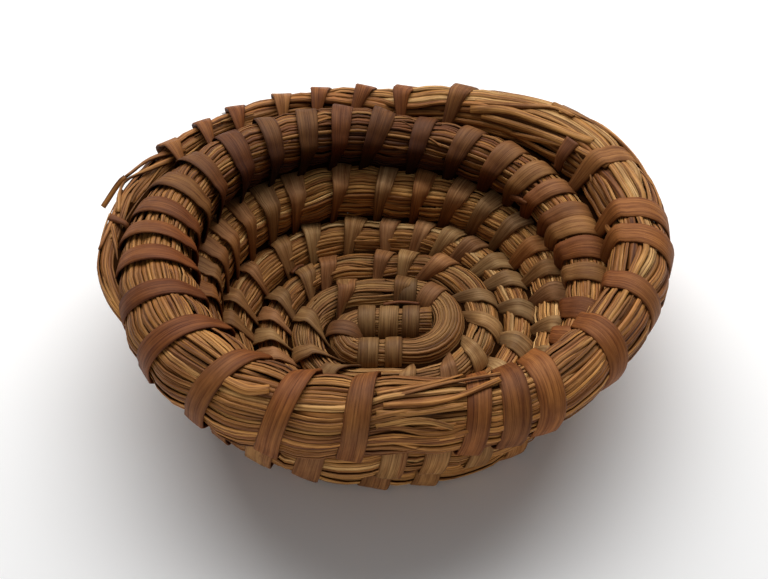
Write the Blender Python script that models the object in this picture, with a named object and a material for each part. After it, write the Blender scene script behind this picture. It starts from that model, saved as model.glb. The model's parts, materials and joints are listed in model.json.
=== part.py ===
"""A shallow oval bowl of coiled straw, sewn with flat wooden splints.

Front is -Y, up is +Z, and the underside rests on Z = 0. All lengths are in metres.
"""

import bisect
import math

import bmesh
import bpy
from mathutils import Vector

# Straw bundle: its thickness at numbered turns of the coil, counted from the centre
START_THICKNESS = 0.0122
FLOOR_THICKNESS = 0.0107
FLOOR_EDGE_THICKNESS = 0.0109
BEND_THICKNESS = 0.0160
LOW_WALL_THICKNESS = 0.0172
WALL_LEFT_THICKNESS = 0.0215
WALL_RIGHT_THICKNESS = 0.0156
HIGH_WALL_THICKNESS = 0.0212
RIM_THICKNESS = 0.0228
RIM_BACK_THICKNESS = 0.0146
RIM_LEFT_THICKNESS = 0.0084
RIM_END_THICKNESS = 0.0036
THICKNESS_BY_TURN = (
    (0.0, START_THICKNESS),
    (1.0, FLOOR_THICKNESS),
    (3.0, FLOOR_EDGE_THICKNESS),
    (3.5, BEND_THICKNESS),
    (4.0, LOW_WALL_THICKNESS),
    (4.5, WALL_LEFT_THICKNESS),
    (5.0, WALL_RIGHT_THICKNESS),
    (5.5, HIGH_WALL_THICKNESS),
    (6.0, RIM_THICKNESS),
    (6.25, RIM_BACK_THICKNESS),
    (6.5, RIM_LEFT_THICKNESS),
    (6.66, RIM_END_THICKNESS),
)

# Lean of each round on the one inside it: 0 lies flat beside it, 90 stands on top of it
LEAN_BY_TURN = (
    (2.6, 0.0),
    (3.25, 3.0),
    (3.75, 4.0),
    (4.25, 35.0),
    (4.75, 67.0),
    (5.25, 60.0),
    (5.75, 86.0),
    (6.25, -8.0),
    (6.6, 4.0),
)

# Course of the bundle, in turns: the straight start, and the share of a turn in each quarter bend
CENTRE_LENGTH = 0.0172
START_TURN = 0.2
END_TURN = 6.66
BEND_TURNS = 0.2

# Splint: sawn flat, drawn narrow where it goes through the straw
SPLINT_THICKNESS = 0.0008
FLOOR_SPLINT_WIDTH = 0.0066
WALL_SPLINT_WIDTH = 0.0082
DRAWN_WIDTH = 0.0032
SHOULDER_SHARE = 0.35
FLOOR_SEWING_PLAY = 0.0010
WALL_SEWING_PLAY = 0.0016
RIM_SEWING_PLAY = 0.0050
FIRST_SEWN_TURN = 1.22
LAST_SEWN_TURN = 6.55
FIRST_WALL_TURN = 3.0
FIRST_RIM_TURN = 5.6
BINDER_STRIPS = 11

# Fit of splint and straw
CLEARANCE = 0.0003
ROUND_PLAY = 0.0006
SLIT_PLAY = 0.0004
SLIT_SIDE_PLAY = 0.0008
ROUND_GAP = SPLINT_THICKNESS + 2 * CLEARANCE + ROUND_PLAY
FOOT = SPLINT_THICKNESS + CLEARANCE
FLAT_SHARE = 0.1

# Section of the bundle: slits for the next round's splint at this angle from it, ridged by straws
SLIT_ANGLE = math.radians(45)
STRAW_RIDGES = 5
RIDGE_DEPTH_SHARE = 0.1
UNDER_SIDES = 2 * STRAW_RIDGES + 2
CORNER_NAMES = ["facing", "inner low", "inner high", *["under"] * (UNDER_SIDES - 1), "outer high", "outer low"]
INNER_SLIT = [CORNER_NAMES.index("inner low"), CORNER_NAMES.index("inner high")]
OUTER_SLIT = [CORNER_NAMES.index("outer low"), CORNER_NAMES.index("outer high")]
SLIT_FACE = (SPLINT_THICKNESS + 2 * SLIT_PLAY) / math.cos(SLIT_ANGLE)
SLIT_LENGTH = DRAWN_WIDTH + 2 * SLIT_SIDE_PLAY

# Splint round a bundle, in angles from the line to the round inside
WRAP_END = math.radians(105)
WRAP_STEP = math.radians(30)

STEPS_PER_TURN = 240
BENDS_PER_TURN = 36
SHIFTS_IN_SPLINT = 6
SHIFT_TRIES = 480


def between(table, turn):
    """Value of a table of (turn, value) at a turn, eased from row to row."""
    turns = [row[0] for row in table]
    low = min(max(bisect.bisect_right(turns, turn) - 1, 0), len(table) - 2)
    share = (turn - turns[low]) / (turns[low + 1] - turns[low])
    share = min(max(share, 0.0), 1.0)
    eased = (share + share * share * (3 - 2 * share)) / 2
    return table[low][1] + (table[low + 1][1] - table[low][1]) * eased


def thickness(turn):
    return between(THICKNESS_BY_TURN, turn)


START_RADIUS = (thickness(0.0) + ROUND_GAP) / 2
START_HEIGHT = FOOT + thickness(0.0) * (0.5 - FLAT_SHARE)


def ring_place(turn):
    """Distance of a turn from its bend's centre, and its height, stacked round by round."""
    rounds = math.floor(turn + BEND_TURNS + 1e-9)
    base = turn - rounds
    radius = 0.0 if base < 0.25 else START_RADIUS
    height = START_HEIGHT
    for k in range(1, rounds + 1):
        outer, inner = thickness(base + k), thickness(max(base + k - 1, 0.0))
        pitch = (outer + inner) / 2 + ROUND_GAP
        lean = math.radians(between(LEAN_BY_TURN, base + k))
        resting = FOOT + outer * (0.5 - FLAT_SHARE) - height
        rise = min(max(resting, pitch * math.sin(lean)), pitch)
        radius += math.sqrt(pitch * pitch - rise * rise)
        height += rise
    return radius, height


def course(turn):
    """Centre of the bundle at a turn, anticlockwise from above, from the right."""
    whole = math.floor(turn)
    part = turn - whole
    radius, height = ring_place(turn)
    half = CENTRE_LENGTH / 2
    if part <= BEND_TURNS or part >= 1 - BEND_TURNS:
        angle = math.pi / 2 * (part if part <= BEND_TURNS else part - 1) / BEND_TURNS
        return Vector((half + radius * math.cos(angle), radius * math.sin(angle), height))
    if abs(part - 0.5) <= BEND_TURNS:
        angle = math.pi + math.pi / 2 * (part - 0.5) / BEND_TURNS
        x, y = radius * math.cos(angle), radius * math.sin(angle)
        return Vector((x - half, y - START_RADIUS, height))
    if part < 0.5:
        share = (part - BEND_TURNS) / (0.5 - 2 * BEND_TURNS)
        first = ring_place(whole + BEND_TURNS)[0]
        last = ring_place(whole + 0.5 - BEND_TURNS)[0] - START_RADIUS
        return Vector((half - CENTRE_LENGTH * share, first + (last - first) * share, height))
    share = (part - 0.5 - BEND_TURNS) / (0.5 - 2 * BEND_TURNS)
    first = ring_place(whole + 0.5 + BEND_TURNS)[0] + START_RADIUS
    last = ring_place(whole + 1 - BEND_TURNS)[0]
    return Vector((CENTRE_LENGTH * share - half, -first - (last - first) * share, height))


def tangent(turn):
    step = 1 / STEPS_PER_TURN
    return (course(turn + step) - course(turn - step)).normalized()


def cross_axes(along):
    """Level outward direction and upward direction of a section across the bundle."""
    outward = Vector((along.y, -along.x, 0)).normalized()
    return outward, outward.cross(along).normalized()


def bearing(turn):
    """Angle, in the section at a turn, of the line to the next round."""
    turn = min(turn, END_TURN - 1)
    outward, upward = cross_axes(tangent(turn))
    line = course(turn + 1) - course(turn)
    return math.atan2(line.dot(upward), line.dot(outward))


SAMPLE_COUNT = math.ceil((END_TURN - START_TURN) * STEPS_PER_TURN)
SAMPLE_TURNS = [START_TURN + (END_TURN - START_TURN) * k / SAMPLE_COUNT for k in range(SAMPLE_COUNT + 1)]
SAMPLE_POINTS = [course(turn) for turn in SAMPLE_TURNS]
SAMPLE_LENGTHS = [0.0]
for before, after in zip(SAMPLE_POINTS, SAMPLE_POINTS[1:]):
    SAMPLE_LENGTHS.append(SAMPLE_LENGTHS[-1] + (after - before).length)


def looked_up(value, keys, values):
    low = min(max(bisect.bisect_right(keys, value) - 1, 0), len(keys) - 2)
    share = (value - keys[low]) / (keys[low + 1] - keys[low])
    return values[low] + (values[low + 1] - values[low]) * min(max(share, 0.0), 1.0)


def length_at(turn):
    return looked_up(turn, SAMPLE_TURNS, SAMPLE_LENGTHS)


def moved(turn, distance):
    """Turn that lies a distance further along the bundle."""
    return looked_up(length_at(turn) + distance, SAMPLE_LENGTHS, SAMPLE_TURNS)


def splint_width(turn):
    return FLOOR_SPLINT_WIDTH if turn < FIRST_WALL_TURN else WALL_SPLINT_WIDTH


def shoulder_width(turn):
    return DRAWN_WIDTH + (splint_width(turn) - DRAWN_WIDTH) * SHOULDER_SHARE


def stitch_pitch(turn):
    """Even distance between stitches, with room between them for the next round's splint."""
    if turn < FIRST_WALL_TURN:
        play = FLOOR_SEWING_PLAY
    else:
        play = WALL_SEWING_PLAY if turn < FIRST_RIM_TURN else RIM_SEWING_PLAY
    return splint_width(turn) + shoulder_width(turn + 1) + 2 * CLEARANCE + play


BAND_STEP = (FLOOR_SPLINT_WIDTH + 2 * CLEARANCE) / CENTRE_LENGTH * (0.5 - 2 * BEND_TURNS)
START_BANDS = (BEND_TURNS + BAND_STEP / 2, 1 - BEND_TURNS - BAND_STEP * 1.5)


def foot(turn):
    """Turn of the round inside whose section reaches the given turn."""
    inside = turn - 1
    for _ in range(4):
        inside = moved(inside, (course(turn) - course(inside)).dot(tangent(inside)))
    return inside


def has_room(turn, stitches):
    """Whether a stitch's leg comes down between the stitches of the round inside."""
    place = length_at(foot(turn))
    leg = shoulder_width(turn)
    for other in [*START_BANDS, *stitches]:
        room = (splint_width(other) + leg) / 2 + CLEARANCE
        if abs(length_at(other) - place) < room:
            return False
    if not stitches:
        return True
    return place - length_at(foot(stitches[-1])) >= SLIT_LENGTH + 2 * SPLINT_THICKNESS


def sewn_turns():
    """Turns of all stitches, each at the free place nearest to its even pitch."""
    stitches = []
    last = FIRST_SEWN_TURN
    while True:
        pitch = stitch_pitch(last) if stitches else 0.0
        least = splint_width(last) + 2 * (SPLINT_THICKNESS + CLEARANCE) if stitches else 0.0
        found = None
        for k in range(SHIFT_TRIES):
            shift = (k + 1) // 2 * SPLINT_THICKNESS / SHIFTS_IN_SPLINT * (1 if k % 2 else -1)
            turn = moved(last, pitch + shift)
            if pitch + shift >= least and has_room(turn, stitches):
                found = turn
                break
        if found is None or found > LAST_SEWN_TURN:
            return stitches
        stitches.append(found)
        last = found


STITCHES = sewn_turns()
STRIP_ENDS = [round(len(STITCHES) * k / BINDER_STRIPS) for k in range(BINDER_STRIPS + 1)]


def ring_turns():
    """Turns of the bundle's rings: the edges of each slit, and bends clear of the splint."""
    rings = [START_TURN, END_TURN]
    for turn in STITCHES:
        rings.append(moved(foot(turn), -SLIT_LENGTH / 2))
        rings.append(moved(foot(turn), SLIT_LENGTH / 2))
    wraps = sorted(STITCHES + list(START_BANDS))
    extra = [(a + b) / 2 for a, b in zip(wraps, wraps[1:])]
    count = int((END_TURN - START_TURN) * BENDS_PER_TURN)
    extra += [END_TURN - k / BENDS_PER_TURN for k in range(count)]
    for turn in extra:
        place = length_at(turn)
        near_ring = min(abs(place - length_at(other)) for other in rings) < SLIT_LENGTH
        clear = all(
            abs(place - length_at(other)) > splint_width(other) / 2 + CLEARANCE for other in wraps
        )
        if clear and not near_ring:
            rings.append(turn)
    return sorted(rings)


RING_TURNS = ring_turns()


class Ring:
    """One section of the bundle, with its corners and the two slit faces."""

    def __init__(self, turn):
        self.turn = turn
        self.centre = course(turn)
        self.radius = thickness(turn) / 2
        self.along = tangent(turn)
        outward, upward = cross_axes(self.along)
        half_face = math.asin(min(SLIT_FACE / 2 / self.radius, math.sin(SLIT_ANGLE) * 0.9))
        low, high = SLIT_ANGLE - half_face, SLIT_ANGLE + half_face
        under = [high + (2 * math.pi - 2 * high) * k / UNDER_SIDES for k in range(1, UNDER_SIDES)]
        angles = [0.0, low, high, *under, -high, -low]
        furrow = 1 - RIDGE_DEPTH_SHARE
        ridged = [furrow if k % 2 else 1.0 for k in range(1, UNDER_SIDES)]
        facing = bearing(turn)
        self.corners = []
        for angle, share in zip(angles, [1.0, 1.0, 1.0, *ridged, 1.0, 1.0]):
            spoke = outward * math.cos(facing + angle) + upward * math.sin(facing + angle)
            corner = self.centre + spoke * (self.radius * share)
            corner.z = max(corner.z, FOOT)
            self.corners.append(corner)


RINGS = [Ring(turn) for turn in RING_TURNS]
SIDES = len(CORNER_NAMES)
INNER_SLIT_ROUND = [INNER_SLIT[0], INNER_SLIT[0], INNER_SLIT[1], INNER_SLIT[1]]
OUTER_SLIT_ROUND = [OUTER_SLIT[0], OUTER_SLIT[0], OUTER_SLIT[1], OUTER_SLIT[1]]
TUNNELS = [(STITCHES[k - 1], STITCHES[k]) for k in range(1, len(STITCHES)) if k not in STRIP_ENDS]


def add_run(shape, first, last, roomy):
    """Four sides between two four-cornered outlines, folded out where twisted if roomy, or else in."""
    middle = sum((corner.co for corner in [*first, *last]), Vector()) / (len(first) + len(last))
    for side in range(4):
        other = (side + 1) % 4
        corners = [first[side].co, first[other].co, last[other].co, last[side].co]
        outward = (corners[2] - corners[0]).cross(corners[3] - corners[1])
        if outward.dot(sum(corners, Vector()) / 4 - middle) < 0:
            outward = -outward
        one = outward.dot(corners[0] + corners[2])
        two = outward.dot(corners[1] + corners[3])
        if (one > two) == roomy:
            shape.faces.new((first[side], first[other], last[other]))
            shape.faces.new((first[side], last[other], last[side]))
        else:
            shape.faces.new((first[side], first[other], last[side]))
            shape.faces.new((first[other], last[other], last[side]))


def made_object(name, mesh_data, material):
    mesh = bpy.data.meshes.new(name)
    mesh_data.to_mesh(mesh)
    mesh_data.free()
    mesh.materials.append(material)
    mesh.shade_smooth()
    mesh.set_sharp_from_angle(angle=math.radians(40))
    made = bpy.data.objects.new(name, mesh)
    bpy.context.scene.collection.objects.link(made)
    return made


def made_material(name, colour, roughness):
    material = bpy.data.materials.new(name)
    material.use_nodes = True
    shader = material.node_tree.nodes["Principled BSDF"]
    shader.inputs["Base Color"].default_value = (*colour, 1)
    shader.inputs["Roughness"].default_value = roughness
    shader.inputs["Metallic"].default_value = 0.0
    return material


def slit_rings(stitch):
    """The two rings at the edges of the slit that a stitch passes through."""
    first = bisect.bisect_left(RING_TURNS, moved(foot(stitch), -SLIT_LENGTH / 2) - 1e-9)
    return first, first + 1


def straw_coil(material):
    """The whole bundle as one tube, with a slanting tunnel from each stitch to the next."""
    shape = bmesh.new()
    rows = [[shape.verts.new(corner) for corner in ring.corners] for ring in RINGS]
    open_sides = set()
    for stitch, following in TUNNELS:
        a, b = slit_rings(stitch)
        c, d = slit_rings(following)
        open_sides |= {(a, INNER_SLIT[0]), (c, OUTER_SLIT[1])}
        mouth = [rows[ring][side] for ring, side in zip((a, b, b, a), INNER_SLIT_ROUND)]
        far_mouth = [rows[ring][side] for ring, side in zip((c, d, d, c), OUTER_SLIT_ROUND)]
        add_run(shape, mouth, far_mouth, True)
    for k in range(len(rows) - 1):
        for side in range(SIDES):
            if (k, side) not in open_sides:
                other = (side + 1) % SIDES
                shape.faces.new((rows[k][side], rows[k][other], rows[k + 1][other], rows[k + 1][side]))
    shape.faces.new(rows[0])
    shape.faces.new(rows[-1])
    bmesh.ops.recalc_face_normals(shape, faces=shape.faces)
    return made_object("straw_coil", shape, material)


class Joint:
    """A bend of the splint: its place, the bundle's direction there, and its width."""

    def __init__(self, place, along, width):
        self.place = place
        self.along = along
        self.width = width


def slit_joint(stitch, slit):
    """The splint's place in the mouth of a slit."""
    a, b = slit_rings(stitch)
    corners = [RINGS[k].corners[side] for k in (a, b) for side in slit]
    along = (RINGS[b].centre - RINGS[a].centre).normalized()
    return Joint(sum(corners, Vector()) / len(corners), along, DRAWN_WIDTH)


def seat(turn):
    """Centre, direction and radius of the straight run of bundle that a wrap goes round."""
    low = bisect.bisect_right(RING_TURNS, turn) - 1
    first, last = RINGS[low], RINGS[low + 1]
    start = length_at(first.turn)
    run = length_at(last.turn) - start
    share = (length_at(turn) - start) / run
    reach = splint_width(turn) / 2 / run
    radii = [
        first.radius + (last.radius - first.radius) * min(max(share + side * reach, 0.0), 1.0)
        for side in (-1, 1)
    ]
    along = (last.centre - first.centre).normalized()
    return first.centre.lerp(last.centre, share), along, max(radii)


def bend_joint(centre, along, radius, axes, angle, step, width):
    reach = (radius + CLEARANCE + SPLINT_THICKNESS / 2) / math.cos(step / 2)
    spoke = axes[0] * math.cos(angle) + axes[1] * math.sin(angle)
    return Joint(centre + spoke * reach, along, width)


def wrap_joints(stitch):
    """The splint's bends round the bundle, from the outer side over to the inner side."""
    centre, along, radius = seat(stitch)
    a, b = slit_rings(stitch)
    line = centre - (RINGS[a].centre + RINGS[b].centre) / 2
    away = (line - along * line.dot(along)).normalized()
    axes = (away, away.cross(along))
    outward, upward = cross_axes(along)
    facing = bearing(stitch)
    onward = outward * math.cos(facing) + upward * math.sin(facing)
    middle = math.atan2(onward.dot(axes[1]), onward.dot(axes[0]))
    bends = [middle + WRAP_STEP * (k + 0.5) for k in range(-8, 8)]
    inside = [angle for angle in bends if abs(angle) < WRAP_END - WRAP_STEP / 3]
    angles = [-WRAP_END, *inside, WRAP_END]
    steps = [after - before for before, after in zip(angles, angles[1:])]
    steps = [steps[0], *steps, steps[-1]]
    joints = []
    for k, angle in enumerate(angles):
        at_shoulder = k in (0, len(angles) - 1)
        width = shoulder_width(stitch) if at_shoulder else splint_width(stitch)
        step = max(steps[k], steps[k + 1])
        joints.append(bend_joint(centre, along, radius, axes, angle, step, width))
    return joints


def band_joints(turn):
    """The bends of a splint end that goes once round the start of the bundle."""
    centre, along, radius = seat(turn)
    count = round(2 * math.pi / WRAP_STEP)
    step = 2 * math.pi / count
    axes = cross_axes(along)
    angles = [step * (k + 0.5) for k in range(count)]
    width = FLOOR_SPLINT_WIDTH
    return [bend_joint(centre, along, radius, axes, angle, step, width) for angle in angles]


def laid_flat(joints, closed):
    """The joints with any run below the ground laid along it."""
    ground = SPLINT_THICKNESS / 2
    laid = []
    for k, joint in enumerate(joints):
        if joint.place.z >= ground:
            laid.append(joint)
        if k == len(joints) - 1 and not closed:
            break
        following = joints[(k + 1) % len(joints)]
        if (joint.place.z < ground) != (following.place.z < ground):
            share = (ground - joint.place.z) / (following.place.z - joint.place.z)
            width = joint.width + (following.width - joint.width) * share
            along = joint.along.lerp(following.along, share).normalized()
            laid.append(Joint(joint.place.lerp(following.place, share), along, width))
    return laid


def splint(name, joints, closed, material):
    """A flat strip of wood through a row of joints, mitred at each."""
    joints = laid_flat(joints, closed)
    shape = bmesh.new()
    count = len(joints)
    rows = []
    for k, joint in enumerate(joints):
        runs = []
        for start, end in ((k - 1, k), (k, k + 1)):
            if closed or (start >= 0 and end < count):
                runs.append((joints[end % count].place - joints[start % count].place).normalized())
        normals = [joint.along.cross(run).normalized() for run in runs]
        normal = sum(normals, Vector()).normalized()
        half = SPLINT_THICKNESS / 2 / normal.dot(normals[0])
        edge = joint.along * joint.width / 2
        row = []
        for side, across in ((-1, -1), (-1, 1), (1, 1), (1, -1)):
            corner = joint.place + normal * half * side + edge * across
            corner.z = max(corner.z, SPLINT_THICKNESS if side < 0 else 0.0)
            row.append(shape.verts.new(corner))
        rows.append(row)
    for k in range(count if closed else count - 1):
        add_run(shape, rows[k], rows[(k + 1) % count], False)
    if not closed:
        shape.faces.new(rows[0])
        shape.faces.new(rows[-1])
    bmesh.ops.recalc_face_normals(shape, faces=shape.faces)
    return made_object(name, shape, material)


def tail(mouth, bend):
    """A cut end that stops just short of the straw."""
    run = (bend.place - mouth.place).normalized()
    return Joint(mouth.place + run * SLIT_FACE, bend.along, DRAWN_WIDTH)


def binder_strips(material):
    """The sewing splints, each one strip of several stitches."""
    strips = []
    for number, (first, stop) in enumerate(zip(STRIP_ENDS, STRIP_ENDS[1:]), 1):
        joints = []
        for k in range(first, stop):
            wrap = wrap_joints(STITCHES[k])
            outer, inner = slit_joint(STITCHES[k], OUTER_SLIT), slit_joint(STITCHES[k], INNER_SLIT)
            joints.append(tail(outer, wrap[0]) if k == first else outer)
            joints += wrap
            joints.append(tail(inner, wrap[-1]) if k == stop - 1 else inner)
        strips.append(splint(f"binder_strip_{number:02d}", joints, False, material))
    return strips


def least_gap():
    """Least gap between rounds of the bundle, measured on sample sections."""
    step = STEPS_PER_TURN // 24
    picks = range(0, len(SAMPLE_TURNS), step)
    gap = math.inf
    for i in picks:
        for j in picks:
            if SAMPLE_TURNS[j] - SAMPLE_TURNS[i] > 0.4:
                apart = (SAMPLE_POINTS[j] - SAMPLE_POINTS[i]).length
                radii = (thickness(SAMPLE_TURNS[i]) + thickness(SAMPLE_TURNS[j])) / 2
                gap = min(gap, apart - radii)
    return gap


def main():
    for old in list(bpy.data.objects):
        bpy.data.objects.remove(old)
    straw = made_material("straw", (0.42, 0.24, 0.09), 0.55)
    wood = made_material("splint", (0.24, 0.13, 0.07), 0.5)
    pieces = [straw_coil(straw)]
    for number, turn in enumerate(START_BANDS, 1):
        pieces.append(splint(f"start_band_{number}", band_joints(turn), True, wood))
    pieces += binder_strips(wood)
    corners = [vertex.co for piece in pieces for vertex in piece.data.vertices]
    middle = [(min(c[k] for c in corners) + max(c[k] for c in corners)) / 2 for k in range(2)]
    for piece in pieces:
        piece.location = (-middle[0], -middle[1], 0)
    print(f"{len(STITCHES)} stitches, {len(RINGS)} rings, least gap {least_gap() * 1000:.2f} mm")
    print(f"middle {middle[0] * 1000:.2f} {middle[1] * 1000:.2f} mm")


main()
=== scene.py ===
"""Looks of a coiled straw basket: every stalk of the bundle and every sewn splint, on the frame from
model.glb.
"""

import bisect
import json
import math
import random

import bmesh
import bpy
import numpy as np
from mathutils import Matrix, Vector

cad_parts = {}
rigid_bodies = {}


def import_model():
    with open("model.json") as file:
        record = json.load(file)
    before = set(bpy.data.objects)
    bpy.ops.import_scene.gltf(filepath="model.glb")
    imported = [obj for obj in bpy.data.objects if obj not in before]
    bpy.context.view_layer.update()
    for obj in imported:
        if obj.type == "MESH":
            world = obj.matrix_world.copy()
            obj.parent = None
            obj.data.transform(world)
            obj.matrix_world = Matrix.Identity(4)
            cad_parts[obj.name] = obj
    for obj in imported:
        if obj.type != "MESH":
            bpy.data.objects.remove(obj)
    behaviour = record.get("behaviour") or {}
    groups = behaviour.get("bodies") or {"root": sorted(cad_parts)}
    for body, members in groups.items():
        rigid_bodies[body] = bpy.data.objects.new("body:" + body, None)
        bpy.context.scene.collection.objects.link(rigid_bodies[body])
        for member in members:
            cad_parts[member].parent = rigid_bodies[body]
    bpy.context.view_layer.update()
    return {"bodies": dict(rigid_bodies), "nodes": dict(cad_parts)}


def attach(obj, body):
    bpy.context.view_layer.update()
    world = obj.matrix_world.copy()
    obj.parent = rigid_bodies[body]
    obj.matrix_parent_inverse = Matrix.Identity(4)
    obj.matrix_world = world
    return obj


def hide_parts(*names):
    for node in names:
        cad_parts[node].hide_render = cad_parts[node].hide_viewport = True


bl_info = {
    "name": "Coiled straw basket",
    "version": (1, 0, 0),
    "blender": (4, 5, 0),
    "location": "3D View > Sidebar > Basket",
    "description": "Builds the straw, the splints and the stage of a coiled basket",
    "category": "Object",
}

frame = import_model()
BODY = next(iter(frame["bodies"]))
NODES = sorted(frame["nodes"])
# From the middle of the coil's start to the middle of the footprint, which is the frame's origin
MIDDLE = Vector((0.00061, 0.00615, 0))

# Course of the bundle: thickness and lean at numbered turns of the coil, counted from the centre
THICKNESS_BY_TURN = (
    (0.0, 0.0122),
    (1.0, 0.0107),
    (3.0, 0.0109),
    (3.5, 0.0160),
    (4.0, 0.0172),
    (4.5, 0.0216),
    (5.0, 0.0156),
    (5.5, 0.0212),
    (6.0, 0.0228),
    (6.25, 0.0146),
    (6.4, 0.0104),
    (6.5, 0.0062),
    (6.56, 0.0034),
)
LEAN_BY_TURN = (
    (2.6, 0.0),
    (3.25, 3.0),
    (3.75, 4.0),
    (4.25, 35.0),
    (4.75, 67.0),
    (5.25, 60.0),
    (5.75, 86.0),
    (6.25, -8.0),
    (6.6, 4.0),
)

# Straight run between the start's two bends, and the cut end that lies beyond the first bend
CENTRE_LENGTH = 0.0172
START_OVER = 0.0078
# First and last turn of the bundle, and how much of a turn a bend takes on each side of its middle
START_TURN = 0.2
END_TURN = 6.56
BEND_TURNS = 0.2
# Least gap between rounds, height of the splints under the floor, and how flat the floor's rounds are pressed
ROUND_GAP = 0.0020
FOOT = 0.0011
FLAT_SHARE = 0.1
# The low front round bulges forward about one turn
FRONT_BULGE = 0.0024
BULGE_TURN = 3.75
BULGE_TURNS = 0.13
# The wall's two ends lie further back the further out and the higher they are
RIGHT_BACK = 0.0042
RIGHT_FROM = 0.02
RIGHT_SPAN = 0.07
LEFT_BACK = 0.0034
LEFT_FROM = 0.045
LEFT_SPAN = 0.045
FULL_HEIGHT = 0.045
# The tail lies against the rim from one turn on, and its end is tucked in
BESIDE_TURN = 6.3
TUCK_TURN = 6.505
TUCK_TURNS = 0.05
TUCK_DEPTH = 0.0025
# Samples on a turn and on the cut end, and the reach of the search for the round inside
SAMPLES_PER_TURN = 960
OVER_SAMPLES = 60
FOOT_REACH = 0.012
# First turn with a round inside it, and how far before the coil's end the last turn with one outside lies
INNER_TURN = 1.25
OUTER_STOP = 1.02

# Widths of the straws and of the splints, by the turns that they lie on
STALK_WIDTH_BY_TURN = (
    (0.0, 0.0011),
    (2.5, 0.0012),
    (4.0, 0.0013),
    (5.3, 0.0014),
    (5.65, 0.0017),
    (5.9, 0.0021),
    (6.05, 0.0026),
    (6.2, 0.0022),
    (6.35, 0.0013),
    (6.56, 0.0010),
)
SPLINT_WIDTH_BY_TURN = (
    (0.0, 0.0068),
    (2.6, 0.0074),
    (3.4, 0.0081),
    (5.3, 0.0083),
    (5.7, 0.0087),
    (6.1, 0.0087),
    (6.4, 0.0076),
)
# How much further the bundle reaches than its course's thickness, so that the rounds press together
CLOSER_BY_TURN = (
    (0.0, 0.0009),
    (5.0, 0.0008),
    (5.6, 0.0005),
    (6.56, 0.0002),
)
# How far the rim swells outwards, most where the tail's straws are sewn in with it
SWELL_BY_TURN = (
    (5.42, 0.0),
    (5.5, 0.0030),
    (5.56, 0.0060),
    (5.63, 0.0050),
    (5.72, 0.0022),
    (5.84, 0.0),
    (5.93, -0.0034),
    (6.02, -0.0012),
    (6.06, 0.0010),
    (6.105, 0.0030),
    (6.155, 0.0016),
    (6.2, 0.0),
)
# Distance from stitch to stitch where none shows
PITCH_BY_TURN = (
    (0.0, 0.0118),
    (2.5, 0.0128),
    (4.0, 0.0140),
    (5.2, 0.0150),
    (5.6, 0.0180),
    (6.56, 0.0190),
)


def between(table, turn):
    """Value of a table of (turn, value) at a turn, eased from row to row."""
    turns = [row[0] for row in table]
    low = min(max(bisect.bisect_right(turns, turn) - 1, 0), len(table) - 2)
    share = share_of(turn - turns[low], turns[low + 1] - turns[low])
    eased = (share + share * share * (3 - 2 * share)) / 2
    return table[low][1] + (table[low + 1][1] - table[low][1]) * eased


def share_of(value, span):
    """How much of a span a value has covered, from 0 to 1."""
    return min(max(value / span, 0.0), 1.0)


def thickness(turn):
    """Thickness of the bundle at a turn."""
    return between(THICKNESS_BY_TURN, turn)


START_RADIUS = (thickness(0.0) + ROUND_GAP) / 2
START_HEIGHT = FOOT + thickness(0.0) * (0.5 - FLAT_SHARE)


def ring_place(turn):
    """Distance of a turn from its bend's centre, and its height, stacked round by round."""
    # The small addend guards against rounding where a bend begins
    rounds = math.floor(turn + BEND_TURNS + 1e-9)
    base = turn - rounds
    # Bends on the right start at the centre, those on the left one radius out
    radius = 0.0 if base < 0.25 else START_RADIUS
    height = START_HEIGHT
    for k in range(1, rounds + 1):
        outer, inner = thickness(base + k), thickness(max(base + k - 1, 0.0))
        pitch = (outer + inner) / 2 + ROUND_GAP
        lean = math.radians(between(LEAN_BY_TURN, base + k))
        resting = FOOT + outer * (0.5 - FLAT_SHARE) - height
        rise = min(max(resting, pitch * math.sin(lean)), pitch)
        radius += math.sqrt(pitch * pitch - rise * rise)
        height += rise
    return radius, height


def course(turn):
    """Centre of the bundle at a turn, anticlockwise from above, from the right."""
    whole = math.floor(turn)
    part = turn - whole
    radius, height = ring_place(turn)
    half = CENTRE_LENGTH / 2
    if part <= BEND_TURNS or part >= 1 - BEND_TURNS:
        angle = math.pi / 2 * (part if part <= BEND_TURNS else part - 1) / BEND_TURNS
        place = (half + radius * math.cos(angle), radius * math.sin(angle), height)
    elif abs(part - 0.5) <= BEND_TURNS:
        angle = math.pi + math.pi / 2 * (part - 0.5) / BEND_TURNS
        place = (radius * math.cos(angle) - half, radius * math.sin(angle) - START_RADIUS, height)
    elif part < 0.5:
        share = (part - BEND_TURNS) / (0.5 - 2 * BEND_TURNS)
        first = ring_place(whole + BEND_TURNS)[0]
        last = ring_place(whole + 0.5 - BEND_TURNS)[0] - START_RADIUS
        place = (half - CENTRE_LENGTH * share, first + (last - first) * share, height)
    else:
        share = (part - 0.5 - BEND_TURNS) / (0.5 - 2 * BEND_TURNS)
        first = ring_place(whole + 0.5 + BEND_TURNS)[0] + START_RADIUS
        last = ring_place(whole + 1 - BEND_TURNS)[0]
        place = (CENTRE_LENGTH * share - half, -first - (last - first) * share, height)
    return Vector(place) - MIDDLE


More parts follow.
